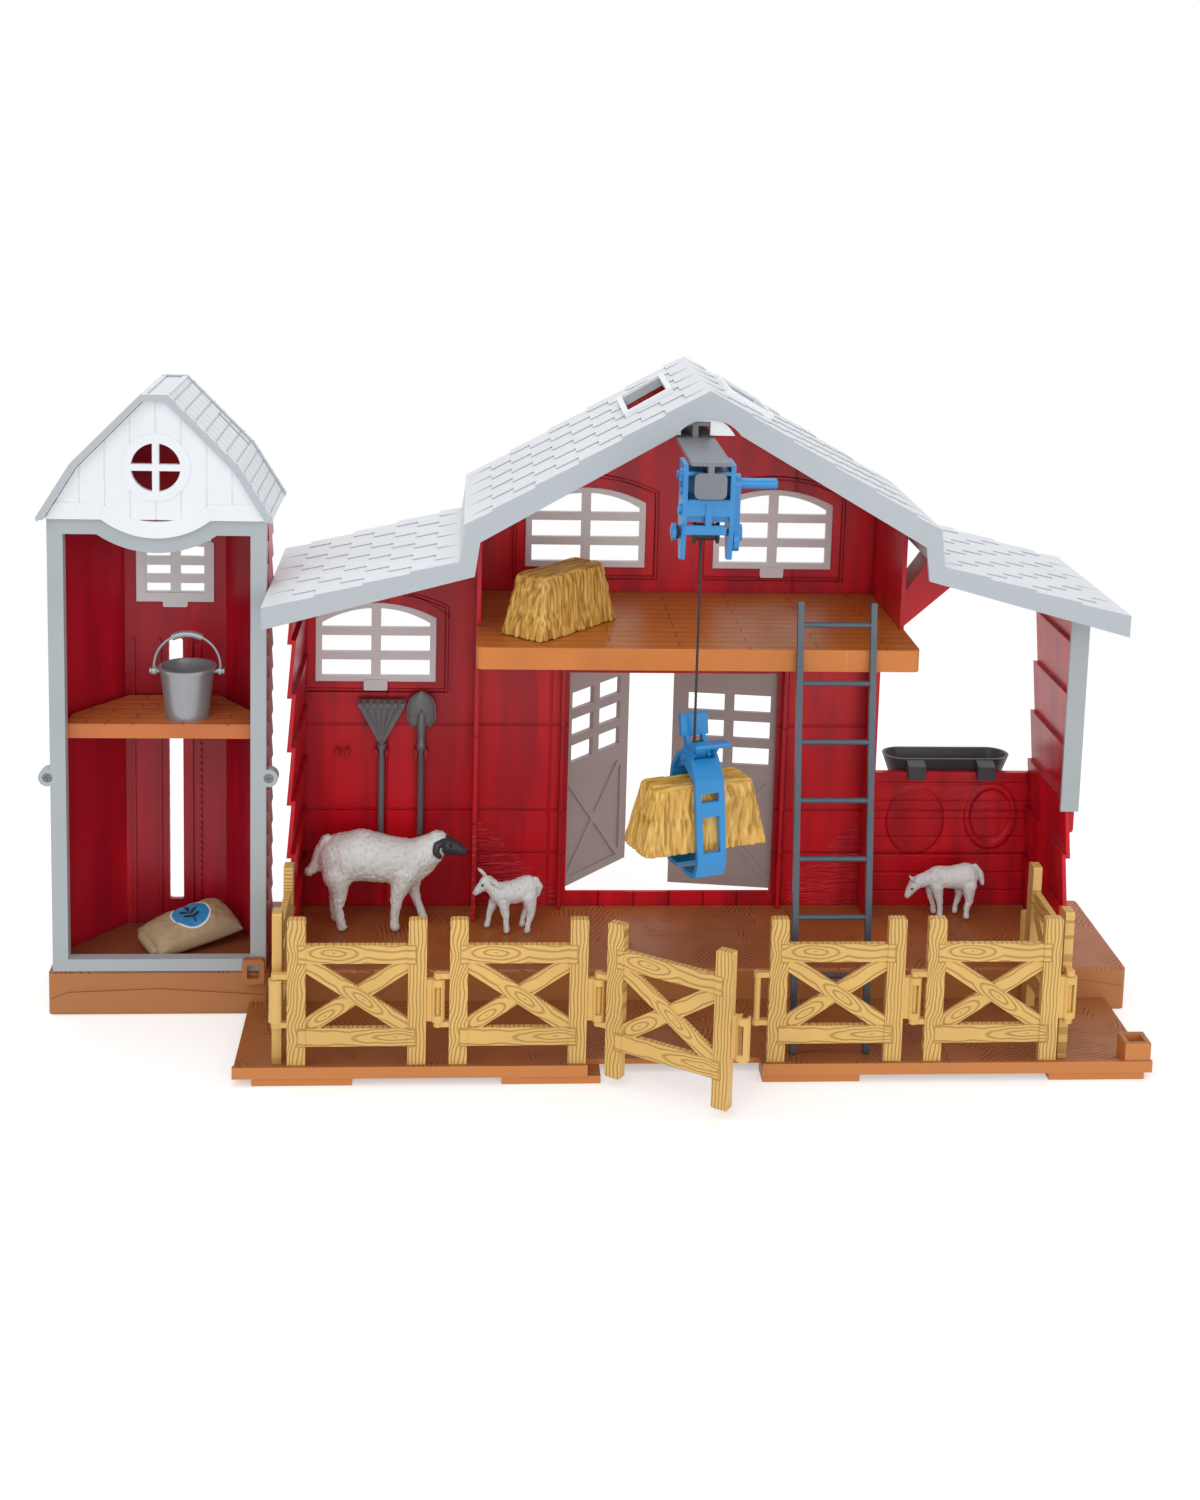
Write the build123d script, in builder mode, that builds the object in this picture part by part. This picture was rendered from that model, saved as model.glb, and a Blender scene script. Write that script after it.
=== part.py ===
from build123d import *
import os
from math import atan2, cos, degrees, hypot, radians, sin

# Toy barn with a silo tower, a fenced yard, swinging doors, a lift and a rail hoist.
# Millimetres. X runs to the right, Y runs from the open play side to the back, Z is up.
# The origin is on the floor, in the middle of the moulded base.

# ---------------------------------------------------------------- shared sizes
sheet = 2.4              # moulded wall of every housing piece
fit = 0.3                # gap between pieces that move past each other
pin_play = 0.06          # radial play of a pin in its eye
seat_gap = 0.2           # gap round a piece that is pressed or dropped into its seat

# ---------------------------------------------------------------- base and yard
base_width = 612.0
base_height = 25.0
base_front_y = -10.5
base_relief = 0.8
base_back_y = 88.0
tower_base_width = 122.0
base_joint_gap = 0.4
base_skirt = 2.6
yard_left_x = -195.0
yard_right_x = 293.5
yard_front_y = -95.0
yard_plate = 3.0
yard_foot = 4.2
yard_rail_height = 3.4
yard_rail_depth = 2.3
yard_back_gap = 0.7

# ---------------------------------------------------------------- barn body
barn_x = 48.0            # middle of the barn
wall_face_y = 80.0       # inner face of the back wall
wall_half = 224.0        # middle of the barn to the outer face of an end wall
wall_front_y = 0.0       # front edge of the side walls
board_pitch = 31.0       # height of one clapboard
board_step = 2.6         # how far each board leans out
half_wall_height = 111.0
loft_top = 222.0
loft_thickness = 12.0
loft_half = 120.0
loft_front_y = -44.0
rib_depth = 24.0

# ---------------------------------------------------------------- barn roof
roof_front_y = -50.0
roof_back_y = 90.0
roof_ridge_z = 363.0
roof_knee = 127.0        # middle of the barn to the step between main roof and wing
roof_knee_z = 289.0
roof_step_z = 270.0
roof_eave = 233.0
roof_eave_z = 243.0
roof_sheet = 3.0
roof_fascia = 13.0
fascia_thickness = 2.6
shingle_length = 26.0
shingle_rise = 1.1
shingle_columns = 10
skylight_width = 24.0
skylight_depth = 52.0
skylight_out = 27.0      # middle of the ridge to the middle of a skylight
skylight_y = 28.0

# ---------------------------------------------------------------- doors and windows
door_opening_half = 63.0
door_opening_top = 172.0
door_sill = 7.0
door_height = 136.0
door_thickness = 3.0
door_pin_radius = 1.6
door_pin_length = 4.0
door_left_angle = 50.0
door_right_angle = 9.0
window_width = 71.0
window_height = 48.0
window_rise = 9.0        # height of the arch above the square part
window_bar = 3.6
window_depth = 3.2
loft_window_out = 56.0
loft_window_z = 237.0
bay_window_x = -131.0
bay_window_z = 165.7

# ---------------------------------------------------------------- tower
tower_x = -244.8
tower_half = 58.5
tower_front_y = -3.0
tower_side_end_y = 20.0
tower_back_y = 58.0
tower_back_half = 30.0
tower_eave_z = 282.0
tower_board_pitch = 13.0
tower_board_step = 0.9
frame_thickness = 7.0
frame_bar = 8.5
gable_thickness = 2.4
gambrel_knee = 44.0
gambrel_knee_z = 312.0
gambrel_top = 7.0
gambrel_top_z = 350.0
tower_roof_front_y = -18.0
tower_roof_back_y = 61.0
tower_roof_overhang = 3.5
slot_width = 8.0
slot_bottom = 40.0
slot_top = 198.0
lift_top = 165.0
lift_thickness = 8.0

# ---------------------------------------------------------------- fence
fence_y = -90.0
fence_panel_width = 72.0
fence_first_x = -167.0
fence_height = 90.0
fence_thickness = 5.0
fence_post = 9.5
fence_foot_z = 5.0
fence_pin_out = 6.0      # outer face of a post to the axis of its pin or socket
fence_pitch = fence_panel_width + 2 * fence_pin_out
fence_pin_radius = 1.7
fence_socket_radius = 3.7
fence_socket_bottom = 34.0
fence_socket_top = 57.0
gate_angle = 33.0

# ---------------------------------------------------------------- hoist
hoist_x = 41.0            # middle of the rail, a little left of the ridge
rail_back_y = 60.0
rail_front_y = -122.0
rail_flange_z = 338.0
rail_flange = 20.0
rail_flange_thickness = 1.8
rail_top_flange = 15.0
rail_height = 8.0
rail_web = 3.0
runner_drop = 6.0        # underside of the rail to the runner that the trolley hangs on
runner_width = 9.0
runner_thickness = 1.6
trolley_y = -106.0
trolley_length = 20.0
trolley_half = 13.0
trolley_cheek = 2.4
trolley_height = 44.0
drum_z = 300.0
drum_radius = 4.2
crank_radius = 25.0
cord_radius = 0.8
claw_pin_z = 184.0
claw_jaw_width = 16.0
claw_turn = 20.0         # the claw hangs turned about its cord
bale_length = 70.0
bale_width = 31.0
bale_height = 34.0

os.makedirs("parts", exist_ok=True)


def save(shape, label):
    shape.label = label
    export_step(shape, f"parts/{label}.step")


def facing_viewer(y):
    """Plane with X to the right and its Y up, at depth y; extrude(amount>0) comes towards the viewer."""
    return Plane.XZ.offset(-y)


def upright(x, y, angle):
    """Plane through the vertical axis at (x, y): its X is turned from +X by the angle, its Y is up."""
    turn = radians(angle)
    return Plane(origin=(x, y, 0), x_dir=(cos(turn), sin(turn), 0), z_dir=(sin(turn), -cos(turn), 0))


# ================================================================= base and yard
def moulded_base(left, right):
    """Upside-down tray with a stone relief along its front skirt."""
    width = right - left
    depth = base_back_y - base_front_y
    middle_x = (left + right) / 2
    middle_y = (base_front_y + base_back_y) / 2
    stone_pitch = 61.0
    stones = int(width // stone_pitch)
    with BuildPart() as base:
        with BuildSketch(Plane.XY):
            with Locations((middle_x, middle_y)):
                RectangleRounded(width, depth, 3)
        extrude(amount=base_height)
        top_rim = base.edges().group_by(Axis.Z)[-1]
        chamfer(top_rim, length=1.2)
        with BuildSketch(Plane.XY):
            with Locations((middle_x, middle_y)):
                Rectangle(width - 2 * base_skirt, depth - 2 * base_skirt)
        extrude(amount=base_height - base_skirt, mode=Mode.SUBTRACT)
        with BuildSketch(facing_viewer(base_front_y)):
            for index in range(stones):
                start = left + 2 + index * (width - 4) / stones
                end = left + 2 + (index + 1) * (width - 4) / stones
                mound = 13 + 4 * (index % 2)
                with BuildLine():
                    Polyline(
                        (start, 1),
                        (start, 9 + 3 * (index % 3)),
                        (start + 9, mound),
                        ((start + end) / 2, mound + 2),
                        (end - 12, mound - 1),
                        (end, 8 + 3 * ((index + 1) % 3)),
                        (end, 1),
                        close=True,
                    )
                make_face()
        extrude(amount=base_relief)
    return base.part


base_left_x = -base_width / 2
base_split_x = base_left_x + tower_base_width
save(moulded_base(base_left_x, base_split_x - base_joint_gap / 2), "tower_base")
with BuildPart() as barn_base:
    add(moulded_base(base_split_x + base_joint_gap / 2, base_width / 2))
    # rib across the tray, under the origin
    with BuildSketch(Plane.XY):
        with Locations((0, (base_front_y + base_back_y) / 2)):
            Rectangle(6, base_back_y - base_front_y - base_skirt)
    extrude(amount=base_height - base_skirt / 2)
save(barn_base.part, "barn_base")

yard_floor_z = yard_foot + yard_plate
yard_back_y = base_front_y - base_relief - yard_back_gap
gate_left_x = fence_first_x + 2 * fence_pitch
gate_right_x = gate_left_x + fence_panel_width
gate_recess = 9.0
fence_panel_starts = [fence_first_x + index * fence_pitch for index in range(5)]
side_left_x = fence_first_x - fence_pin_out
side_right_x = fence_panel_starts[4] + fence_panel_width + fence_pin_out

with BuildPart() as yard_plate_part:
    with BuildSketch(Plane.XY.offset(yard_foot)):
        with BuildLine():
            Polyline(
                (yard_left_x, yard_back_y),
                (yard_left_x, yard_front_y),
                (gate_left_x - 11, yard_front_y),
                (gate_left_x - 11, fence_y + gate_recess),
                (gate_right_x + 10, fence_y + gate_recess),
                (gate_right_x + 10, yard_front_y),
                (yard_right_x, yard_front_y),
                (yard_right_x, yard_back_y),
                close=True,
            )
        make_face()
    extrude(amount=yard_plate)
    for rail_start, rail_end in ((yard_left_x, gate_left_x - 11), (gate_right_x + 10, yard_right_x)):
        with BuildSketch(Plane.XY.offset(yard_floor_z)):
            with Locations(((rail_start + rail_end) / 2, yard_front_y + yard_rail_depth / 2)):
                Rectangle(rail_end - rail_start, yard_rail_depth)
        extrude(amount=yard_rail_height)
    for foot_x in (yard_left_x + 36, gate_left_x - 30, gate_right_x + 36, yard_right_x - 30):
        with BuildSketch(Plane.XY):
            with Locations((foot_x, yard_front_y + 8)):
                Rectangle(52, 14)
            with Locations((foot_x, yard_back_y - 8)):
                Rectangle(52, 14)
        extrude(amount=yard_foot)
    with BuildSketch(Plane.XY.offset(yard_floor_z)):
        with Locations((yard_right_x - 8, yard_front_y + 8)):
            Rectangle(14, 14)
    extrude(amount=13)
    with BuildSketch(Plane.XY.offset(yard_floor_z)):
        with Locations((yard_right_x - 8, yard_front_y + 8)):
            Rectangle(9, 9)
    extrude(amount=13, mode=Mode.SUBTRACT)
    with BuildSketch(Plane.XY.offset(fence_foot_z - seat_gap)):
        for panel_index in (0, 1, 3, 4):
            for post_x in (fence_post / 2, fence_panel_width - fence_post / 2):
                with Locations((fence_panel_starts[panel_index] + post_x, fence_y)):
                    Rectangle(fence_post + 2 * seat_gap, fence_thickness + 2 * seat_gap)
        for side_x in (side_left_x, side_right_x):
            for post_y in (fence_post / 2, fence_panel_width - fence_post / 2):
                with Locations((side_x, fence_y + fence_pin_out + post_y)):
                    Rectangle(fence_thickness + 2 * seat_gap, fence_post + 2 * seat_gap)
    extrude(amount=20, mode=Mode.SUBTRACT)
save(yard_plate_part.part, "yard_plate")


# ================================================================= fence
def fence_panel(origin_x, origin_y, angle, label):
    """Panel whose pin stands at the origin; the panel runs along the turned X, its socket at the far end."""
    face = upright(origin_x, origin_y, angle)
    back = face.offset(-fence_thickness / 2)
    start = fence_pin_out
    end = start + fence_panel_width
    rail_low, rail_high, rail_width = 20.5, 66.0, 10.0
    brace_width = 8.5
    socket_x = end + fence_pin_out
    with BuildPart() as panel:
        with BuildSketch(back):
            for post_x in (start + fence_post / 2, end - fence_post / 2):
                with Locations((post_x, (fence_foot_z + fence_height) / 2)):
                    RectangleRounded(fence_post, fence_height - fence_foot_z, 1.2)
        extrude(amount=fence_thickness)
        with BuildSketch(back.offset(1.0)):
            for rail_z in (rail_low, rail_high):
                with Locations(((start + end) / 2, rail_z + rail_width / 2)):
                    Rectangle(fence_panel_width - fence_post, rail_width)
        extrude(amount=fence_thickness - 1.6)
        run = fence_panel_width - 2 * fence_post
        rise = rail_high - rail_low - rail_width
        slope = degrees(atan2(rise, run))
        for tilt, level in ((slope, 1.4), (-slope, 2.0)):
            with BuildSketch(back.offset(level)):
                with Locations(Location(((start + end) / 2, (rail_low + rail_high + rail_width) / 2), tilt)):
                    Rectangle(hypot(run, rise) + 6, brace_width)
                with Locations(((start + end) / 2, (rail_low + rail_high + rail_width) / 2)):
                    Rectangle(run + 2, rise + 2, mode=Mode.INTERSECT)
            extrude(amount=2.2)
        # pin on its two arms
        arm_half = fence_pin_radius
        for arm_z in (fence_socket_bottom - 3.2, fence_socket_top + 0.4):
            with BuildSketch(Plane(origin=face.origin, x_dir=face.x_dir, z_dir=(0, 0, 1)).offset(arm_z)):
                Circle(arm_half + 0.6)
                with Locations(((start + 1) / 2, 0)):
                    Rectangle(start + 1, 2 * arm_half)
            extrude(amount=2.8)
        level = Plane(origin=face.origin, x_dir=face.x_dir, z_dir=(0, 0, 1))
        with BuildSketch(level.offset(fence_socket_bottom - 1)):
            Circle(fence_pin_radius)
        extrude(amount=fence_socket_top - fence_socket_bottom + 2)
        # open socket with a window
        socket_plane = Plane(
            origin=face.origin + face.x_dir * socket_x, x_dir=face.x_dir, z_dir=(0, 0, 1)
        ).offset(fence_socket_bottom)
        socket_height = fence_socket_top - fence_socket_bottom
        with BuildSketch(socket_plane):
            Circle(fence_socket_radius)
            with Locations((-(fence_pin_out + 1) / 2 - 1, 0)):
                Rectangle(fence_pin_out + 1 - 2, 3.0)
        extrude(amount=socket_height)
        with BuildSketch(socket_plane):
            Circle(fence_pin_radius + pin_play)
            with Locations((0, fence_socket_radius)):
                Rectangle(2 * (fence_pin_radius + fit), 2 * fence_socket_radius)
        extrude(amount=socket_height, mode=Mode.SUBTRACT)
        with BuildSketch(face.offset(fence_socket_radius)):
            with Locations((socket_x, (fence_socket_bottom + fence_socket_top) / 2)):
                Rectangle(3.2, socket_height - 7)
        extrude(amount=-2 * fence_socket_radius, mode=Mode.SUBTRACT)
    save(panel.part, label)


for number, start in enumerate(fence_panel_starts, 1):
    if number == 3:
        fence_panel(start - fence_pin_out, fence_y, -gate_angle, "gate_panel")
    else:
        fence_panel(start - fence_pin_out, fence_y, 0, f"fence_panel_{number}")
fence_panel(side_left_x, fence_y + fence_pitch, -90, "fence_side_left")
fence_panel(side_right_x, fence_y, 90, "fence_side_right")


# ================================================================= barn walls
wall_back_y = wall_face_y + sheet
roof_knee_foot = roof_knee + 2.5


def roof_underside(out):
    """Level just under the roof sheet at a distance from the middle of the barn."""
    if out < roof_knee - sheet:
        drop = (roof_ridge_z - roof_knee_z) * out / (roof_knee - sheet)
        return roof_ridge_z - roof_sheet - drop - fit
    wing_out = out - (roof_knee_foot - sheet)
    drop = (roof_step_z - roof_eave_z) * wing_out / (roof_eave - roof_knee_foot + sheet)
    return roof_step_z - roof_sheet - drop - fit


def window_outline(width, height, rise, grow=0.0):
    """Square window with an arched head, its sill in the middle of the sketch's origin."""
    half = width / 2 + grow
    with BuildSketch() as outline:
        with BuildLine():
            Polyline((-half, height), (-half, -grow), (half, -grow), (half, height))
            ThreePointArc((half, height), (0, height + rise + grow), (-half, height))
        make_face()
    return outline.sketch


main_windows = (
    ("window_bay", bay_window_x, bay_window_z),
    ("window_loft_left", barn_x - loft_window_out, loft_window_z),
    ("window_loft_right", barn_x + loft_window_out, loft_window_z),
)
knee_inside = roof_knee - sheet - fit
door_opening_bottom = base_height + door_sill + 2
door_axis_out = door_opening_half + 3.0
door_axis_y = wall_back_y + 2.5
door_bottom = door_opening_bottom + 0.6
clip_z = 123.0
tool_handle_radius = 1.9
tool_places = {"empty": -150.0, "rake": -127.0, "shovel": -103.5}

with BuildPart() as back_wall:
    with BuildSketch(facing_viewer(wall_face_y)):
        with BuildLine():
            Polyline(
                (barn_x - wall_half, base_height),
                (barn_x - wall_half, roof_underside(wall_half)),
                (barn_x - knee_inside, roof_step_z - roof_sheet - fit),
                (barn_x - knee_inside, roof_underside(knee_inside)),
                (barn_x, roof_underside(0)),
                (barn_x + loft_half, roof_underside(loft_half)),
                (barn_x + loft_half, half_wall_height),
                (barn_x + wall_half, half_wall_height),
                (barn_x + wall_half, base_height),
                close=True,
            )
        make_face()
    extrude(amount=-sheet)
    # raised rims round the windows
    for window_name, window_x, window_z in main_windows:
        rim_plane = Plane(origin=(window_x, wall_face_y, window_z), x_dir=(1, 0, 0), z_dir=(0, -1, 0))
        with BuildSketch(rim_plane):
            add(window_outline(window_width, window_height - window_rise, window_rise, 8.5))
        extrude(amount=1.2)
        with BuildSketch(rim_plane):
            add(window_outline(window_width, window_height - window_rise, window_rise, 6.0))
        extrude(amount=1.2, mode=Mode.SUBTRACT)
        with BuildSketch(rim_plane):
            add(window_outline(window_width, window_height - window_rise, window_rise, seat_gap))
        extrude(amount=-sheet, mode=Mode.SUBTRACT)
    with BuildSketch(facing_viewer(wall_face_y)):
        with Locations((barn_x, (door_opening_bottom + door_opening_top) / 2)):
            Rectangle(2 * door_opening_half, door_opening_top - door_opening_bottom)
    extrude(amount=-sheet, mode=Mode.SUBTRACT)
    # deep ribs that carry the loft, and shallow jambs of the doorway
    with BuildSketch(Plane.XY.offset(base_height)):
        for side in (-1, 1):
            with Locations((barn_x + side * (loft_half - sheet / 2), wall_face_y - rib_depth / 2)):
                Rectangle(sheet, rib_depth)
    extrude(amount=loft_top - loft_thickness - base_height)
    with BuildSketch(Plane.XY.offset(base_height)):
        for side in (-1, 1):
            with Locations((barn_x + side * (door_opening_half + 4), wall_face_y - 3)):
                Rectangle(2, 6)
    extrude(amount=loft_top - loft_thickness - base_height)
    # rail on top of the half wall
    with BuildSketch(facing_viewer(wall_face_y)):
        with Locations((barn_x + (loft_half + wall_half) / 2, half_wall_height - 1.5)):
            Rectangle(wall_half - loft_half, 3)
    extrude(amount=1.6)
    # room for the end walls
    with BuildSketch(facing_viewer(wall_face_y)):
        for side in (-1, 1):
            with Locations((barn_x + side * (wall_half - board_step - sheet - fit + 5), 180)):
                Rectangle(10, 320)
    extrude(amount=4, mode=Mode.SUBTRACT)
    # tool clips
    for clip_x in tool_places.values():
        with BuildSketch(Plane.XY.offset(clip_z - 2.5)):
            for side in (-1, 1):
                with Locations((clip_x + side * (tool_handle_radius + fit + 0.8), wall_face_y - 3.2)):
                    Rectangle(1.6, 6.4)
        extrude(amount=5)
    # hinge lugs behind the doorway
    for side in (-1, 1):
        for lug_z in (door_bottom - 4.6, door_bottom + door_height + 0.4):
            with BuildSketch(Plane.XY.offset(lug_z)):
                with Locations((barn_x + side * door_axis_out, door_axis_y)):
                    Circle(3.4)
                with Locations((barn_x + side * door_axis_out, (door_axis_y + wall_back_y) / 2)):
                    Rectangle(6.8, door_axis_y - wall_back_y)
            extrude(amount=4.2)
            with BuildSketch(Plane.XY.offset(lug_z)):
                with Locations((barn_x + side * door_axis_out, door_axis_y)):
                    Circle(door_pin_radius + pin_play)
            extrude(amount=4.2, mode=Mode.SUBTRACT)
save(back_wall.part, "barn_back_wall")


def clapboards(face_x, outward, start_z, end_z):
    """Outline in X and Z of a moulded sheet of boards, each leaning out at its lower edge."""
    boards = round((end_z - start_z) / board_pitch)
    height = (end_z - start_z) / boards
    outer = []
    inner = []
    for index in range(boards):
        low = start_z + index * height
        outer += [(face_x + outward * board_step, low), (face_x, low + height)]
        inner_low = low if index == 0 else low + sheet
        inner_high = low + height if index == boards - 1 else low + height + sheet
        inner += [(face_x + outward * (board_step - sheet), inner_low), (face_x - outward * sheet, inner_high)]
    return outer + inner[::-1]


end_wall_top = roof_underside(wall_half + board_step) - 0.2
end_wall_depth = wall_face_y - wall_front_y - fit
with BuildPart() as left_wall:
    with BuildSketch(facing_viewer(wall_face_y - fit)):
        with BuildLine():
            Polyline(*clapboards(barn_x - wall_half + board_step, -1, base_height, end_wall_top), close=True)
        make_face()
    extrude(amount=end_wall_depth)
save(left_wall.part, "barn_left_wall")

with BuildPart() as right_wall:
    with BuildSketch(facing_viewer(wall_face_y - fit)):
        with BuildLine():
            Polyline(*clapboards(barn_x + wall_half - board_step, 1, base_height, end_wall_top), close=True)
        make_face()
    extrude(amount=end_wall_depth)
    # hooks and loop that couple the tower on this side
    hook_x = barn_x + wall_half - board_step
    for hook_z in (176.0, 192.0):
        with BuildSketch(facing_viewer(wall_front_y + 24)):
            with Locations((hook_x + 4, hook_z)):
                Rectangle(9, 2.4)
            with Locations((hook_x + 7.5, hook_z + 1.6)):
                Rectangle(2, 4.6)
        extrude(amount=5)
    with BuildSketch(facing_viewer(wall_front_y + 24)):
        with Locations((hook_x + 4.5, 103)):
            RectangleRounded(11, 17, 2)
        with Locations((hook_x + 4.9, 103)):
            Rectangle(5.6, 11.6, mode=Mode.SUBTRACT)
    extrude(amount=3)
save(right_wall.part, "barn_right_wall")

trim_bottom = 116.0
trim_top = end_wall_top - 4
trim_face = barn_x + wall_half + fit
with BuildPart() as corner_trim:
    with BuildSketch(Plane.XY.offset(trim_bottom)):
        with BuildLine():
            Polyline(
                (trim_face - 8.5, wall_front_y - 2.4),
                (trim_face + 2, wall_front_y - 2.4),
                (trim_face + 2, wall_front_y + 14),
                (trim_face, wall_front_y + 14),
                (trim_face, wall_front_y - 0.2),
                (trim_face - 8.5, wall_front_y - 0.2),
                close=True,
            )
        make_face()
    extrude(amount=trim_top - trim_bottom)
save(corner_trim.part, "corner_trim")

with BuildPart() as loft_floor:
    loft_depth = wall_face_y - loft_front_y
    with BuildSketch(Plane.XY.offset(loft_top - loft_thickness)):
        with Locations((barn_x, (wall_face_y + loft_front_y) / 2)):
            Rectangle(2 * loft_half, loft_depth)
    extrude(amount=loft_thickness)
    front_edges = loft_floor.edges().filter_by(Axis.Z).group_by(Axis.Y)[0]
    fillet(front_edges, radius=4)
    with BuildSketch(Plane.XY.offset(loft_top - loft_thickness)):
        with Locations((barn_x, (wall_face_y + loft_front_y) / 2)):
            Rectangle(2 * loft_half - 6, loft_depth - 6)
    extrude(amount=loft_thickness - 2.8, mode=Mode.SUBTRACT)
save(loft_floor.part, "loft_floor")


def loft_side(side, label):
    outer = loft_half * side
    with BuildPart() as wall:
        with BuildSketch(facing_viewer(wall_face_y - fit)):
            with BuildLine():
                Polyline(
                    (barn_x + outer, loft_top),
                    (barn_x + outer, roof_underside(loft_half)),
                    (barn_x + outer - side * sheet, roof_underside(loft_half)),
                    (barn_x + outer - side * sheet, loft_top),
                    close=True,
                )
            make_face()
        extrude(amount=wall_face_y - wall_front_y - fit)
    save(wall.part, label)


loft_side(-1, "loft_left_wall")
loft_side(1, "loft_right_wall")

brace_in = barn_x + loft_half + fit
with BuildPart() as wing_brace:
    with BuildSketch(facing_viewer(46)):
        with BuildLine():
            Polyline(
                (brace_in, 214),
                (brace_in, 232),
                (barn_x + 142, roof_underside(142)),
                (barn_x + 168, roof_underside(168)),
                close=True,
            )
        make_face()
    extrude(amount=24)
save(wing_brace.part, "wing_brace")


# ================================================================= barn roof
def shingle_run(start, end, phase):
    """Saw-tooth line of shingle courses from a high point to a low point of the roof."""
    run = hypot(end[0] - start[0], end[1] - start[1])
    along = ((end[0] - start[0]) / run, (end[1] - start[1]) / run)
    up = (abs(along[1]), abs(along[0]))
    points = [start]
    reach = shingle_length * phase
    while reach < run - 4:
        if reach > 0:
            foot = (start[0] + along[0] * reach, start[1] + along[1] * reach)
            butt = (foot[0] + up[0] * shingle_rise, foot[1] + up[1] * shingle_rise)
            points += [butt, foot]
        reach += shingle_length
    points.append((end[0] + up[0] * shingle_rise, end[1] + up[1] * shingle_rise))
    points.append(end)
    return points


def half_roof_top(phase):
    """Right half of the roof's top line, from the ridge out to the eave."""
    main = shingle_run((0, roof_ridge_z), (roof_knee, roof_knee_z), phase)
    wing = shingle_run((roof_knee_foot, roof_step_z), (roof_eave, roof_eave_z), phase)
    return main + wing


def roof_outline(phase):
    top = half_roof_top(phase)
    under = [
        (roof_eave, roof_eave_z - roof_sheet),
        (roof_knee_foot - sheet, roof_step_z - roof_sheet),
        (roof_knee - sheet, roof_knee_z - roof_sheet),
    ]
    right = top + under
    ridge_under = [(0, roof_ridge_z - roof_sheet)]
    left = [(-x, z) for x, z in reversed(right[1:])]
    return [(barn_x + x, z) for x, z in right + ridge_under + left]


roof_depth = roof_back_y - roof_front_y
column = roof_depth / shingle_columns
eave_points = [
    (0, roof_ridge_z),
    (roof_knee, roof_knee_z),
    (roof_knee_foot, roof_step_z),
    (roof_eave, roof_eave_z),
]
fascia_under = [
    (roof_eave, roof_eave_z - roof_fascia + 2),
    (roof_knee_foot - 8, roof_step_z - roof_fascia + 5),
    (roof_knee - 8, roof_knee_z - roof_fascia + 4.5),
]
arch_half = 17.0
arch_foot_z = roof_ridge_z - 24
fascia_right = eave_points + fascia_under + [(arch_half, arch_foot_z + 0.5)]
fascia_left = [(-x, z) for x, z in reversed(fascia_right[1:])]
with BuildPart() as barn_roof:
    for phase in (0, 1):
        for index in range(phase, shingle_columns, 2):
            with BuildSketch(facing_viewer(roof_front_y + (index + 1) * column)):
                with BuildLine():
                    Polyline(*roof_outline(phase / 2), close=True)
                make_face()
            extrude(amount=column)
    for fascia_y in (roof_front_y, roof_back_y - fascia_thickness):
        with BuildSketch(facing_viewer(fascia_y + fascia_thickness)):
            with BuildLine():
                rim = Polyline(*[(barn_x + x, z) for x, z in fascia_left + fascia_right])
                ThreePointArc(rim @ 1, (barn_x, roof_ridge_z - 15), rim @ 0)
            make_face()
        extrude(amount=fascia_thickness)
    for side in (-1, 1):
        # skylight with a raised rim
        slope = degrees(atan2(roof_ridge_z - roof_knee_z, roof_knee))
        middle = (barn_x + side * skylight_out, skylight_y, roof_underside(skylight_out) + roof_sheet)
        tilt = Plane(origin=middle, x_dir=(cos(radians(slope)), 0, -side * sin(radians(slope))),
                     z_dir=(side * sin(radians(slope)), 0, cos(radians(slope))))
        with BuildSketch(tilt):
            Rectangle(skylight_width + 4, skylight_depth + 4)
        extrude(amount=2.4)
        with BuildSketch(tilt.offset(-8)):
            Rectangle(skylight_width, skylight_depth)
        extrude(amount=16, mode=Mode.SUBTRACT)
        # closed end of the eave
        with BuildSketch(facing_viewer(roof_back_y)):
            with Locations((barn_x + side * (roof_eave - 1.2), roof_eave_z - 5.5)):
                Rectangle(2.4, 10)
        extrude(amount=roof_depth)
save(barn_roof.part, "barn_roof")


# ================================================================= windows and doors
def window_insert(label, x, z, y, width, height, rise, flange_behind):
    """Barred window with a flange against the wall and a snap tab under the sill."""
    bar = window_bar + 2
    straight = height - rise
    with BuildPart() as window:
        with BuildSketch(Plane(origin=(x, y, z), x_dir=(1, 0, 0), z_dir=(0, -1, 0))):
            add(window_outline(width, straight, rise))
            with Locations((0, straight / 2)):
                Rectangle(width - 2 * window_bar, straight - 2 * window_bar, mode=Mode.SUBTRACT)
            with Locations((0, straight - window_bar)):
                add(window_outline(width - 2 * window_bar, 0.5, rise), mode=Mode.SUBTRACT)
            with Locations((0, straight / 2)):
                Rectangle(bar, straight)
            with Locations((0, straight + rise / 2 - window_bar / 2)):
                Rectangle(bar, rise + 1)
            for level in (height * 0.33, height * 0.64):
                with Locations((0, level)):
                    Rectangle(width - window_bar, bar - 0.6)
        extrude(amount=-window_depth)
        flange_y = y + sheet + 1.2 if flange_behind else y
        with BuildSketch(Plane(origin=(x, flange_y, z), x_dir=(1, 0, 0), z_dir=(0, -1, 0))):
            add(window_outline(width, straight, rise, 2.0))
            add(window_outline(width, straight, rise, -window_bar + 0.4), mode=Mode.SUBTRACT)
        extrude(amount=1.2)
        with BuildSketch(Plane(origin=(x, y, z - 2.0), x_dir=(1, 0, 0), z_dir=(0, -1, 0))):
            RectangleRounded(14, 6.4, 1)
        extrude(amount=1.2)
    save(window.part, label)


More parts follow.
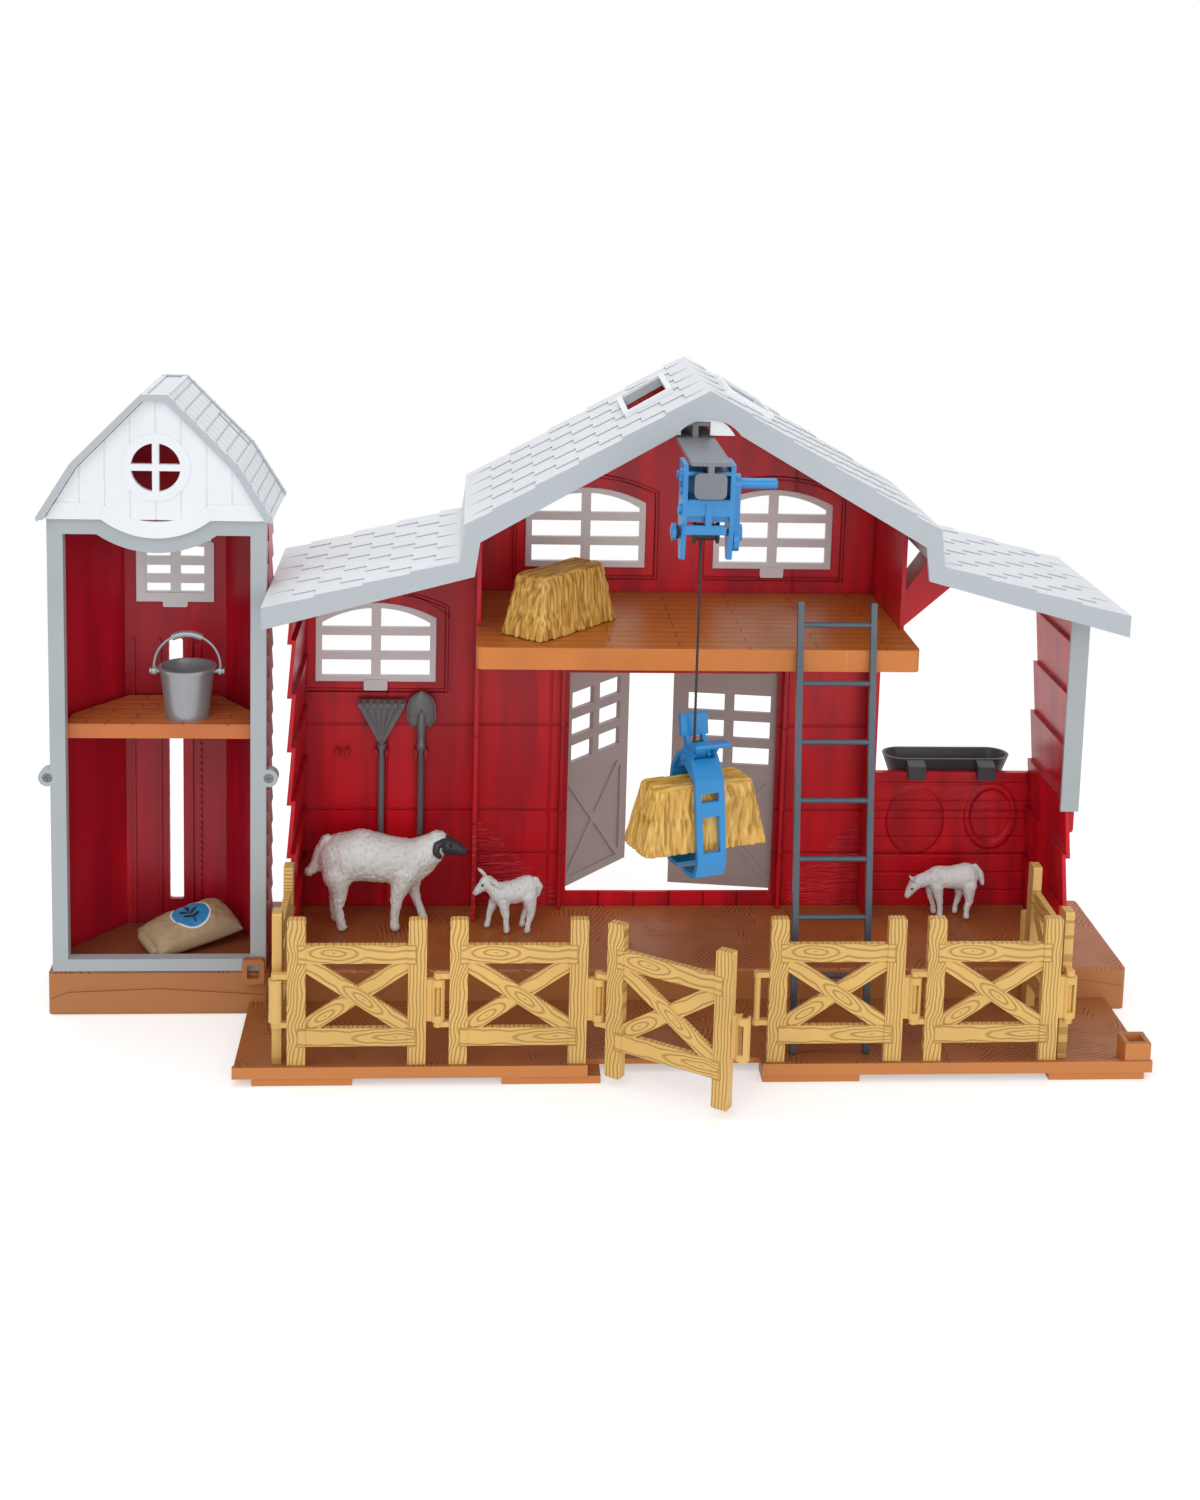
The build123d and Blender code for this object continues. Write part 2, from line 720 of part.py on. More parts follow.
for window_name, window_x, window_z in main_windows:
    window_insert(window_name, window_x, window_z, wall_face_y, window_width, window_height, window_rise, True)


def door_leaf(side, angle, label):
    """Leaf hung on the outer side of its doorway half, opened to the back by the angle."""
    axis = (barn_x + side * door_axis_out, door_axis_y)
    leaf_width = door_axis_out - 0.4
    half = door_thickness / 2
    turn = side * -angle
    face = upright(axis[0], axis[1], turn)
    front = face.offset(half)
    reach = -side
    lap = 5.0
    panel_top = 70.0
    pane_low, pane_high, pane_pitch, pane_width = 78.0, 10.8, 16.6, 22.0
    middle = reach * (leaf_width - lap + 2) / 2
    with BuildPart() as leaf:
        with BuildSketch(front):
            with Locations((reach * leaf_width / 2, door_bottom + door_height / 2)):
                Rectangle(leaf_width, door_height)
            for column_side in (-1, 1):
                for row in range(3):
                    pane_z = door_bottom + pane_low + row * pane_pitch + pane_high / 2
                    with Locations((middle + column_side * (pane_width / 2 + 3), pane_z)):
                        Rectangle(pane_width, pane_high, mode=Mode.SUBTRACT)
        extrude(amount=-door_thickness)
        # sunk X panel on both faces
        for skin in (front, face.offset(-half + 0.9)):
            with BuildSketch(skin):
                with Locations((middle, door_bottom + panel_top / 2 + 1)):
                    RectangleRounded(2 * pane_width + 10, panel_top - 8, 2)
                brace = hypot(2 * pane_width + 10, panel_top - 8)
                tilt = degrees(atan2(panel_top - 8, 2 * pane_width + 10))
                for lean in (tilt, -tilt):
                    with Locations(Location((middle, door_bottom + panel_top / 2 + 1), lean)):
                        Rectangle(brace, 4, mode=Mode.SUBTRACT)
            extrude(amount=-0.9, mode=Mode.SUBTRACT)
        # thinner lap along the meeting edge
        with BuildSketch(Plane(origin=(axis[0], axis[1], door_bottom), x_dir=face.x_dir, z_dir=(0, 0, 1))):
            with Locations((reach * (leaf_width - lap / 2 + 0.5), 1.4)):
                Rectangle(lap + 1, 1.8)
            with Locations((reach * 1.0, 0)):
                Rectangle(2.2, 6)
        extrude(amount=door_height, mode=Mode.SUBTRACT)
        with BuildSketch(Plane(origin=(axis[0], axis[1], door_bottom), x_dir=face.x_dir, z_dir=(0, 0, 1))):
            Circle(2.1)
            with Locations((reach * 1.6, 0)):
                Rectangle(2.4, door_thickness)
        extrude(amount=door_height)
        with BuildSketch(Plane.XY.offset(door_bottom - door_pin_length)):
            with Locations(axis):
                Circle(door_pin_radius)
        extrude(amount=door_height + 2 * door_pin_length)
        # strap hinges
        for strap_z in (door_bottom + 16, door_bottom + door_height - 7):
            with BuildSketch(face.offset(-half)):
                with Locations((reach * 11, strap_z)):
                    Rectangle(17, 4)
            extrude(amount=-0.8)
    save(leaf.part, label)


door_leaf(-1, door_left_angle, "door_left")
door_leaf(1, door_right_angle, "door_right")


# ================================================================= tower
tower_back_inner_y = tower_back_y - sheet
tower_plan = [
    (-tower_half, tower_front_y),
    (-tower_half, tower_side_end_y),
    (-tower_back_half, tower_back_y),
    (tower_back_half, tower_back_y),
    (tower_half, tower_side_end_y),
    (tower_half, tower_front_y),
]
tower_roof_sheet = 2.6
tower_roof_foot_z = tower_eave_z + 0.6
gambrel_eave = tower_half + tower_roof_overhang
gambrel = [
    (-gambrel_eave, tower_roof_foot_z),
    (-gambrel_knee, gambrel_knee_z),
    (-gambrel_top, gambrel_top_z),
    (gambrel_top, gambrel_top_z),
    (gambrel_knee, gambrel_knee_z),
    (gambrel_eave, tower_roof_foot_z),
]


def gambrel_face(inset, foot_z):
    """Region under the tower roof's outer line, drawn in by the inset and cut off level at its foot."""
    deep = foot_z - 60
    with BuildSketch() as region:
        with BuildLine():
            Polyline((-gambrel_eave, deep), *gambrel, (gambrel_eave, deep), close=True)
        make_face()
        if inset > 0:
            offset(amount=-inset, kind=Kind.INTERSECTION, mode=Mode.REPLACE)
        with Locations((0, foot_z + 60)):
            Rectangle(4 * gambrel_eave, 120, mode=Mode.INTERSECT)
    return Pos(tower_x, 0) * region.sketch


def plan_ring(thickness):
    with BuildSketch() as ring:
        with BuildLine() as centre:
            Polyline(*[(tower_x + x, y) for x, y in tower_plan])
            offset(amount=thickness, side=Side.RIGHT)
        make_face()
    return ring.sketch


tower_boards = round((tower_eave_z - base_height) / tower_board_pitch)
tower_board = (tower_eave_z - base_height) / tower_boards
tower_window_width = 40.0
tower_window_height = 34.0
tower_window_z = 222.0
rack_x = tower_x + 13
rack_depth = 1.6

with BuildPart() as tower_crown:
    with BuildSketch(Plane.XY.offset(base_height)):
        add(plan_ring(sheet))
    extrude(amount=gambrel_top_z - base_height)
    with BuildSketch(facing_viewer(tower_back_y + 5)):
        add(gambrel_face(tower_roof_sheet + fit, tower_eave_z))
        with Locations((tower_x, (base_height + tower_eave_z) / 2)):
            Rectangle(2 * tower_half + 10, tower_eave_z - base_height)
    extrude(amount=70, mode=Mode.INTERSECT)

board_edge = [(-1.0, base_height)]
for index in range(tower_boards):
    low = base_height + index * tower_board
    board_edge += [(tower_board_step, low), (0, low + tower_board)]
board_edge.append((-1.0, tower_eave_z))
with BuildPart() as tower_shell:
    with BuildSketch(Plane(origin=(tower_x - tower_half, tower_front_y, 0), x_dir=(-1, 0, 0), z_dir=(0, 1, 0))):
        with BuildLine():
            Polyline(*board_edge, close=True)
        make_face()
    with BuildLine() as shell_path:
        Polyline(*[(tower_x + x, y) for x, y in tower_plan])
    sweep(path=shell_path.line, transition=Transition.RIGHT)
    add(tower_crown.part)
    with BuildSketch(facing_viewer(tower_back_y + 3)):
        with Locations((tower_x, (slot_bottom + slot_top) / 2)):
            RectangleRounded(slot_width, slot_top - slot_bottom, 1.5)
        with Locations((tower_x, tower_window_z + tower_window_height / 2)):
            Rectangle(tower_window_width + 2 * seat_gap, tower_window_height + 2 * seat_gap)
    extrude(amount=8, mode=Mode.SUBTRACT)
    # toothed strip beside the slot, and ribs that stiffen the back
    rack_teeth = int((slot_top - slot_bottom) // 4)
    rack = [(rack_x - 2, slot_bottom)]
    for index in range(rack_teeth):
        rack += [(rack_x + 1, slot_bottom + 4 * index), (rack_x + 2.2, slot_bottom + 4 * index + 2)]
    rack += [(rack_x + 1, slot_bottom + 4 * rack_teeth), (rack_x - 2, slot_bottom + 4 * rack_teeth)]
    with BuildSketch(facing_viewer(tower_back_inner_y)):
        with BuildLine():
            Polyline(*rack, close=True)
        make_face()
        for rib_x in (-24, -9, 9):
            with Locations((tower_x + rib_x, (base_height + slot_top) / 2)):
                Rectangle(1.6, slot_top - base_height)
    extrude(amount=rack_depth)
save(tower_shell.part, "tower_shell")

frame_face_y = tower_front_y
dip_half = 29.0
dip_depth = 10.0
boss_z = 137.0
with BuildPart() as tower_frame:
    with BuildSketch(facing_viewer(frame_face_y)):
        with BuildLine():
            Polyline(
                (tower_x - dip_half, tower_eave_z),
                (tower_x - tower_half, tower_eave_z),
                (tower_x - tower_half, base_height),
                (tower_x + tower_half, base_height),
                (tower_x + tower_half, tower_eave_z),
                (tower_x + dip_half, tower_eave_z),
            )
            ThreePointArc(
                (tower_x + dip_half, tower_eave_z),
                (tower_x, tower_eave_z - dip_depth),
                (tower_x - dip_half, tower_eave_z),
            )
        make_face()
        for boss_side in (-1, 1):
            with Locations((tower_x + boss_side * (tower_half + 1.5), boss_z)):
                Circle(5)
    extrude(amount=frame_thickness)
    opening_half = tower_half - frame_bar
    opening_top = tower_eave_z - frame_bar
    with BuildSketch(facing_viewer(frame_face_y)):
        with BuildLine():
            Polyline(
                (tower_x - dip_half - 3, opening_top),
                (tower_x - opening_half, opening_top),
                (tower_x - opening_half, base_height + 7),
                (tower_x + opening_half, base_height + 7),
                (tower_x + opening_half, opening_top),
                (tower_x + dip_half + 3, opening_top),
            )
            ThreePointArc(
                (tower_x + dip_half + 3, opening_top),
                (tower_x, opening_top - dip_depth),
                (tower_x - dip_half - 3, opening_top),
            )
        make_face()
    extrude(amount=frame_thickness, mode=Mode.SUBTRACT)
    with BuildSketch(facing_viewer(frame_face_y - frame_thickness)):
        for boss_side in (-1, 1):
            with Locations((tower_x + boss_side * (tower_half + 1.5), boss_z)):
                Circle(2.5 + seat_gap)
    extrude(amount=-2, mode=Mode.SUBTRACT)
save(tower_frame.part, "tower_front_frame")

with BuildPart() as tower_screws:
    with BuildSketch(facing_viewer(frame_face_y - frame_thickness + 2)):
        for boss_side in (-1, 1):
            with Locations((tower_x + boss_side * (tower_half + 1.5), boss_z)):
                Circle(2.5)
    extrude(amount=1.5)
    with BuildSketch(facing_viewer(frame_face_y - frame_thickness + 0.5)):
        for boss_side in (-1, 1):
            with Locations((tower_x + boss_side * (tower_half + 1.5), boss_z)):
                Rectangle(3.2, 0.8)
                Rectangle(0.8, 3.2)
    extrude(amount=-0.8, mode=Mode.SUBTRACT)
save(tower_screws.part, "tower_screws")

gable_y = frame_face_y - frame_thickness
gable_ring_z = 311.0
gable_foot_z = tower_eave_z + 0.3


def dipped_band(top_z):
    """Bottom of the gable, from its dipped lower edge up to a parallel upper edge."""
    with BuildSketch() as band:
        with BuildLine():
            Polyline(
                (-dip_half, gable_foot_z),
                (-tower_half, gable_foot_z),
                (-tower_half, top_z),
                (-dip_half, top_z),
            )
            ThreePointArc((-dip_half, top_z), (0, top_z - dip_depth), (dip_half, top_z))
            Polyline(
                (dip_half, top_z),
                (tower_half, top_z),
                (tower_half, gable_foot_z),
                (dip_half, gable_foot_z),
            )
            ThreePointArc(
                (dip_half, gable_foot_z),
                (0, gable_foot_z - dip_depth),
                (-dip_half, gable_foot_z),
            )
        make_face()
    return Pos(tower_x, 0) * band.sketch


with BuildPart() as gable:
    with BuildSketch(facing_viewer(gable_y)):
        add(gambrel_face(tower_roof_sheet + fit, gable_foot_z))
        add(dipped_band(gable_foot_z + 9))
        add(gambrel_face(tower_roof_sheet + fit, gable_foot_z - 20), mode=Mode.INTERSECT)
        with Locations((tower_x, gable_ring_z)):
            Circle(13.2, mode=Mode.SUBTRACT)
    extrude(amount=gable_thickness)
    # grooves between the planks
    with BuildSketch(facing_viewer(gable_y - gable_thickness)):
        for plank in range(-4, 5):
            with Locations((tower_x + plank * 13.5, 318)):
                Rectangle(0.7, 90)
    extrude(amount=-0.6, mode=Mode.SUBTRACT)
    # lower band, its bosses, and the ring of the round window
    with BuildSketch(facing_viewer(gable_y)):
        add(dipped_band(gable_foot_z + 9))
        add(gambrel_face(tower_roof_sheet + fit, gable_foot_z - 20), mode=Mode.INTERSECT)
        with Locations((tower_x, gable_ring_z)):
            Circle(18.5)
            Circle(13.2, mode=Mode.SUBTRACT)
            Rectangle(27, 3.6)
            Rectangle(3.6, 27)
    extrude(amount=gable_thickness + 0.8)
    with BuildSketch(facing_viewer(gable_y - gable_thickness - 0.8)):
        for boss_x, boss_level in ((-43, 5), (-29, 5), (0, -5.5), (29, 5), (43, 5)):
            with Locations((tower_x + boss_x, gable_foot_z + boss_level)):
                Circle(1.4)
    extrude(amount=0.5)
save(gable.part, "tower_gable")

window_insert(
    "tower_window", tower_x, tower_window_z, tower_back_inner_y, tower_window_width, tower_window_height, 1, False
)

with BuildPart() as tower_roof:
    roof_plane = facing_viewer(tower_roof_back_y)
    tower_roof_depth = tower_roof_back_y - tower_roof_front_y
    with BuildSketch(roof_plane):
        add(gambrel_face(0, tower_roof_foot_z))
        add(gambrel_face(tower_roof_sheet, tower_roof_foot_z), mode=Mode.SUBTRACT)
    extrude(amount=tower_roof_depth)
    # raised rims at the front, back and along the eaves
    for rim_y in (tower_roof_front_y + 3.5, tower_roof_back_y):
        with BuildSketch(facing_viewer(rim_y)):
            with BuildLine():
                Polyline(
                    *[(tower_x + x * 1.012, z + 1.2) for x, z in gambrel],
                    *[(tower_x + x, z - 1) for x, z in reversed(gambrel)],
                    close=True,
                )
            make_face()
        extrude(amount=3.5)
    for side in (-1, 1):
        with BuildSketch(roof_plane):
            with Locations((tower_x + side * (gambrel_top - 1), gambrel_top_z - 0.3)):
                Rectangle(3, 2.4)
        extrude(amount=tower_roof_depth)
    # long slot for the carrying handle on the right slope
    slope = atan2(gambrel_top_z - gambrel_knee_z, gambrel_knee - gambrel_top)
    slot_middle = ((gambrel_top + gambrel_knee) / 2 + 6, (gambrel_top_z + gambrel_knee_z) / 2 - 6)
    slot_reach = (gambrel_top_z - gambrel_knee_z) / 2      # deep enough at every pitch of the slope
    slot_plane = Plane(
        origin=(tower_x + slot_middle[0], tower_roof_back_y - 12, slot_middle[1] - 6),
        x_dir=(cos(slope), 0, -sin(slope)),
        z_dir=(sin(slope), 0, cos(slope)),
    )
    with BuildSketch(slot_plane.offset(-slot_reach)):
        SlotOverall(26, 3.4)
    extrude(amount=2 * slot_reach, mode=Mode.SUBTRACT)
save(tower_roof.part, "tower_roof")

lift_front_y = tower_front_y + 1
lift_plan = [
    (-tower_half + 6.5, lift_front_y),
    (-tower_half + 6.5, tower_side_end_y - 3),
    (-tower_back_half + 4, tower_back_inner_y - rack_depth - 0.8),
    (tower_back_half - 4, tower_back_inner_y - rack_depth - 0.8),
    (tower_half - 6.5, tower_side_end_y - 3),
    (tower_half - 6.5, lift_front_y),
]
with BuildPart() as lift:
    with BuildSketch(Plane.XY.offset(lift_top - lift_thickness)):
        with BuildLine():
            Polyline(*[(tower_x + x, y) for x, y in lift_plan], close=True)
        make_face()
    extrude(amount=lift_thickness)
    top_rim = lift.edges().group_by(Axis.Z)[-1]
    chamfer(top_rim, length=0.8)
    with BuildSketch(Plane.XY.offset(lift_top)):
        for groove_y in (8, 18, 28, 38):
            with Locations((tower_x, groove_y)):
                Rectangle(110, 0.7)
        for groove_x, groove_y in ((-30, 3), (12, 3), (-14, 13), (30, 13), (-30, 23), (8, 23), (-6, 33), (20, 43)):
            with Locations((tower_x + groove_x, groove_y)):
                Rectangle(0.7, 9.5)
    extrude(amount=-0.5, mode=Mode.SUBTRACT)
    # tongue through the slot and the grip behind the tower
    with BuildSketch(Plane.XY.offset(lift_top - lift_thickness + 1)):
        with Locations((tower_x, (lift_plan[2][1] + tower_back_y + 6) / 2)):
            Rectangle(slot_width - 1.6, tower_back_y + 6 - lift_plan[2][1] + 2)
    extrude(amount=6)
    with BuildSketch(Plane.XY.offset(lift_top - lift_thickness - 2)):
        with Locations((tower_x, tower_back_y + 8)):
            RectangleRounded(18, 8, 2)
    extrude(amount=12)
save(lift.part, "tower_lift_floor")


# ================================================================= bucket
bucket_x = tower_x + 12.5
bucket_y = 14.0
bucket_height = 29.0
bail_pin_z = lift_top + bucket_height - 3.0
bail_reach = 16.4
with BuildPart() as bucket:
    with BuildSketch(facing_viewer(bucket_y)):
        with BuildLine():
            Polyline(
                (bucket_x, lift_top),
                (bucket_x + 12, lift_top),
                (bucket_x + 15, lift_top + bucket_height - 1.6),
                (bucket_x + 16, lift_top + bucket_height - 1.6),
                (bucket_x + 16, lift_top + bucket_height),
                (bucket_x + 14, lift_top + bucket_height),
                (bucket_x + 11, lift_top + 1.6),
                (bucket_x, lift_top + 1.6),
                close=True,
            )
        make_face()
    revolve(axis=Axis((bucket_x, bucket_y, 0), (0, 0, 1)))
    for side in (-1, 1):
        with BuildSketch(Plane(origin=(bucket_x, bucket_y, bail_pin_z), x_dir=(0, 1, 0), z_dir=(side, 0, 0)).offset(14.4)):
            Circle(1.2)
        extrude(amount=5.8)
        with BuildSketch(Plane(origin=(bucket_x, bucket_y, bail_pin_z), x_dir=(0, 1, 0), z_dir=(side, 0, 0)).offset(19.6)):
            Circle(1.8)
        extrude(amount=1)
save(bucket.part, "bucket")

bail_eye_x = 18.2
with BuildPart() as bail:
    for side in (-1, 1):
        with BuildSketch(Plane(origin=(bucket_x, bucket_y, bail_pin_z), x_dir=(0, 1, 0), z_dir=(side, 0, 0)).offset(17.2)):
            Circle(2.3)
        extrude(amount=2.0)
    with BuildLine() as bail_path:
        ThreePointArc(
            (bucket_x - bail_eye_x, bucket_y, bail_pin_z + 1),
            (bucket_x, bucket_y, bail_pin_z + 21),
            (bucket_x + bail_eye_x, bucket_y, bail_pin_z + 1),
        )
    with BuildSketch(Plane(origin=bail_path.line @ 0, z_dir=bail_path.line % 0)):
        Circle(0.8)
    sweep(path=bail_path.line)
    with BuildLine() as grip_path:
        ThreePointArc(bail_path.line @ 0.36, bail_path.line @ 0.5, bail_path.line @ 0.64)
    with BuildSketch(Plane(origin=grip_path.line @ 0, z_dir=grip_path.line % 0)):
        Circle(1.9)
    sweep(path=grip_path.line)
    with BuildSketch(Plane(origin=(bucket_x - 25, bucket_y, bail_pin_z), x_dir=(0, 1, 0), z_dir=(1, 0, 0))):
        Circle(1.2 + pin_play)
    extrude(amount=50, mode=Mode.SUBTRACT)
save(bail.part, "bucket_bail")


# ================================================================= hoist
rail_top_z = rail_flange_z + rail_height
rail_under_z = rail_flange_z - rail_flange_thickness
runner_top_z = rail_under_z - runner_drop
cheek_top_z = rail_under_z - fit
rail_neck_y = roof_front_y + fascia_thickness + fit    # in front of it the rail is a plain plate
with BuildPart() as rail:
    with BuildSketch(facing_viewer(rail_back_y)):
        with Locations((hoist_x, rail_flange_z - rail_flange_thickness / 2)):
            Rectangle(rail_flange, rail_flange_thickness)
        with Locations((hoist_x, rail_flange_z + rail_height / 2 - 0.5)):
            Rectangle(rail_web, rail_height)
        with Locations((hoist_x, rail_top_z - 1)):
            Rectangle(rail_top_flange, 2)
    extrude(amount=rail_back_y - rail_front_y)
    with BuildSketch(facing_viewer(rail_front_y)):
        with Locations((hoist_x, rail_flange_z + 3.6)):
            Rectangle(rail_flange + 2, 12)
    extrude(amount=-(rail_neck_y - rail_front_y), mode=Mode.SUBTRACT)
    with BuildSketch(facing_viewer(rail_neck_y)):
        with Locations((hoist_x, rail_flange_z - rail_flange_thickness / 2)):
            Rectangle(rail_flange, rail_flange_thickness)
    extrude(amount=rail_neck_y - rail_front_y)
    # runner under the rail, for the trolley
    with BuildSketch(facing_viewer(roof_front_y - 4)):
        with Locations((hoist_x, rail_under_z - runner_drop / 2)):
            Rectangle(rail_web, runner_drop + 1)
        with Locations((hoist_x, runner_top_z - runner_thickness / 2)):
            Rectangle(runner_width, runner_thickness)
    extrude(amount=roof_front_y - 4 - rail_front_y)
    # end stop
    with BuildSketch(facing_viewer(rail_front_y + 1.8)):
        with Locations((hoist_x, rail_under_z - 10)):
            RectangleRounded(16, 13, 3)
    extrude(amount=1.8)
save(rail.part, "hoist_rail")

with BuildPart() as bracket:
    with BuildSketch(facing_viewer(roof_front_y + fascia_thickness + 3.2)):
        with BuildLine():
            bracket_base = Line((hoist_x - 21, rail_flange_z + 1), (hoist_x + 21, rail_flange_z + 1))
            ThreePointArc(bracket_base @ 1, (hoist_x, rail_top_z + 5), bracket_base @ 0)
        make_face()
        with Locations((hoist_x, rail_flange_z + rail_height / 2)):
            Rectangle(rail_top_flange + 0.6, rail_height + 0.6, mode=Mode.SUBTRACT)
    extrude(amount=3.2)
save(bracket.part, "hoist_bracket")

drum_axle_radius = 1.7
drum_half = 6.5
lip_in = rail_web / 2 + 1.0
with BuildPart() as trolley:
    for side in (-1, 1):
        outer_x = hoist_x + side * (trolley_half - trolley_cheek / 2)
        with BuildSketch(Plane(origin=(outer_x, trolley_y, 0), x_dir=(0, 1, 0), z_dir=(1, 0, 0))):
            with BuildLine():
                Polyline(
                    (-10, cheek_top_z),
                    (-10, 306),
                    (-8, 299),
                    (-5, 287),
                    (3, 286),
                    (8, 297),
                    (10, 306),
                    (10, cheek_top_z),
                    close=True,
                )
            make_face()
            with Locations((0, drum_z)):
                Circle(drum_axle_radius + pin_play, mode=Mode.SUBTRACT)
        extrude(amount=trolley_cheek / 2, both=True)
        # lip that rides on the runner
        with BuildSketch(facing_viewer(trolley_y + trolley_length / 2)):
            with Locations((hoist_x + side * (trolley_half + lip_in) / 2, runner_top_z + fit + 0.9)):
                Rectangle(trolley_half - lip_in - 0.4, 1.8)
        extrude(amount=trolley_length)
    # rivet heads on the side away from the crank
    with BuildSketch(Plane(origin=(hoist_x - trolley_half, trolley_y, 0), x_dir=(0, -1, 0), z_dir=(-1, 0, 0))):
        with Locations((5.5, 328), (-5.5, 328), (5.5, 312)):
            Circle(2.2)
    extrude(amount=1.8)
    # cross members
    with BuildSketch(Plane(origin=(hoist_x, trolley_y, 0), x_dir=(0, 1, 0), z_dir=(1, 0, 0))):
        for member_y, member_z, member_depth, member_height in (
            (-8.7, 314, 2.6, 8),
            (0, 317, 18, 2.4),
            (-6, 310.5, 2.4, 8),
            (8.6, 318.5, 2.4, 18),
        ):
            with Locations((member_y, member_z)):
                Rectangle(member_depth, member_height)
    extrude(amount=trolley_half - 0.2, both=True)
save(trolley.part, "trolley")

with BuildPart() as drum:
    with BuildSketch(Plane.YZ.offset(hoist_x - drum_half)):
        with Locations((trolley_y, drum_z)):
            Circle(drum_radius)
    extrude(amount=2 * drum_half)
    with BuildSketch(Plane.YZ.offset(hoist_x - trolley_half - 2.6)):
        with Locations((trolley_y, drum_z)):
            Circle(drum_axle_radius)
    extrude(amount=2 * trolley_half + 3.2)
    with BuildSketch(Plane.YZ.offset(hoist_x - trolley_half - 0.4)):
        with Locations((trolley_y, drum_z)):
            Circle(3.4)
    extrude(amount=-2.2)
    for flange_x in (-drum_half, drum_half - 1.2):
        with BuildSketch(Plane.YZ.offset(hoist_x + flange_x)):
            with Locations((trolley_y, drum_z)):
                Circle(drum_radius + 1.6)
        extrude(amount=1.2)
save(drum.part, "winch_drum")

crank_x = hoist_x + trolley_half + 0.6
with BuildPart() as crank:
    with BuildSketch(Plane.YZ.offset(crank_x)):
        with Locations(Location((trolley_y, drum_z + crank_radius / 2), 90)):
            SlotCenterToCenter(crank_radius, 10)
        with Locations((trolley_y, drum_z - 3)):
            Circle(6.5)
    extrude(amount=2.8)
    with BuildSketch(Plane.YZ.offset(crank_x + 2.8)):
        with Locations((trolley_y, drum_z)):
            Circle(4.2)
    extrude(amount=1.6)
    with BuildSketch(Plane.YZ.offset(crank_x + 2.8)):
        with Locations((trolley_y, drum_z + crank_radius)):
            Circle(2.7)
    extrude(amount=19)
    handle_end = crank.faces().sort_by(Axis.X)[-1]
    fillet(handle_end.edges(), radius=1.4)
save(crank.part, "winch_crank")

cord_x = hoist_x - 2.0
hub_top_z = claw_pin_z + 5.0
cord_top_z = drum_z - drum_radius
with BuildPart() as cord:
    with BuildSketch(Plane.XY.offset(hub_top_z)):
        with Locations((cord_x, trolley_y)):
            Circle(cord_radius)
    extrude(amount=cord_top_z - hub_top_z)
save(cord.part, "hoist_cord")

# ---------------------------------------------------------------- claw
claw_axle_radius = 1.8
claw_axle_half = 9.0
claw_bale_z = 138.0
claw_bale_top = claw_bale_z + bale_height


def turned(shape):
    """The shape turned about the upright line the claw hangs from."""
    return shape.rotate(Axis((hoist_x, trolley_y, 0), (0, 0, 1)), claw_turn)


with BuildPart() as hub:
    with BuildSketch(Plane.YZ.offset(hoist_x)):
        with Locations((trolley_y, claw_pin_z + 0.5)):
            Rectangle(7, 9)
        with Locations((trolley_y, (claw_bale_top + claw_pin_z) / 2)):
            Rectangle(4.4, claw_pin_z - claw_bale_top)
    extrude(amount=3.2, both=True)
    with BuildSketch(Plane.YZ.offset(hoist_x)):
        with Locations((trolley_y, claw_pin_z)):
            Circle(claw_axle_radius)
    extrude(amount=claw_axle_half, both=True)
save(turned(hub.part), "claw_hub")


def claw_jaw(facing, ear_in, paddle, label):
    """Jaw hung on the claw's axle; facing -1 is the front jaw, +1 the back jaw."""
    side_view = Plane(origin=(hoist_x, trolley_y, claw_pin_z), x_dir=(0, 1, 0), z_dir=(1, 0, 0))
    half = claw_jaw_width / 2
    ear_thickness = 2.0
    strap = [
        (7.6, 0.5),
        (14.4, -8.6),
        (20.4, -50),
        (17.6, -58),
        (14, -59.8),
        (3.2, -59.8),
        (3.2, -57.4),
        (13.4, -57.4),
        (15.4, -56),
        (17.9, -50),
        (12.0, -9.4),
        (5.6, -1.0),
    ]
    with BuildPart() as jaw:
        with BuildSketch(side_view):
            with BuildLine():
                Polyline(*[(facing * y, z) for y, z in strap], close=True)
            make_face()
        extrude(amount=half, both=True)
        with BuildSketch(Plane(origin=(hoist_x, trolley_y + facing * 30, claw_pin_z), x_dir=(1, 0, 0), z_dir=(0, -1, 0))):
            with Locations((0, -17.5)):
                Rectangle(9.6, 4.4)
            with Locations((0, -36)):
                Rectangle(9.6, 18)
        extrude(amount=facing * 20, mode=Mode.SUBTRACT)
        for side in (-1, 1):
            ear_x = side * (ear_in + ear_thickness / 2)
            with BuildSketch(side_view.offset(ear_x)):
                Circle(4.4)
                with BuildLine():
                    Polyline(
                        (facing * -1.5, 4.0),
                        (facing * 4.0, 4.0),
                        (facing * 8.2, 0.2),
                        (facing * 12.8, -7.6),
                        (facing * 11.4, -9.6),
                        (facing * 1.0, -4.2),
                        close=True,
                    )
                make_face()
                if paddle == "front":
                    with BuildLine():
                        Polyline((-2, 3), (-8, 9.6), (-15, 10.4), (-15, 8), (-9, 6.4), (-4, 0), close=True)
                    make_face()
                else:
                    with BuildLine():
                        Polyline((-1, 4), (4.2, 11), (6.6, 11), (4, 2), close=True)
                    make_face()
                Circle(claw_axle_radius + pin_play, mode=Mode.SUBTRACT)
            extrude(amount=ear_thickness / 2, both=True)
        with BuildSketch(side_view):
            if paddle == "front":
                with BuildLine():
                    Polyline((-8, 9.8), (-17, 10.8), (-18.2, 9.6), (-17, 8.4), (-8, 7.4), close=True)
                make_face()
            else:
                with BuildLine():
                    Polyline((3.6, 9.4), (5.6, 20), (7.4, 20.6), (8.2, 19.4), (6.2, 9), close=True)
                make_face()
        extrude(amount=ear_in + ear_thickness + 2, both=True)
    save(turned(jaw.part), label)


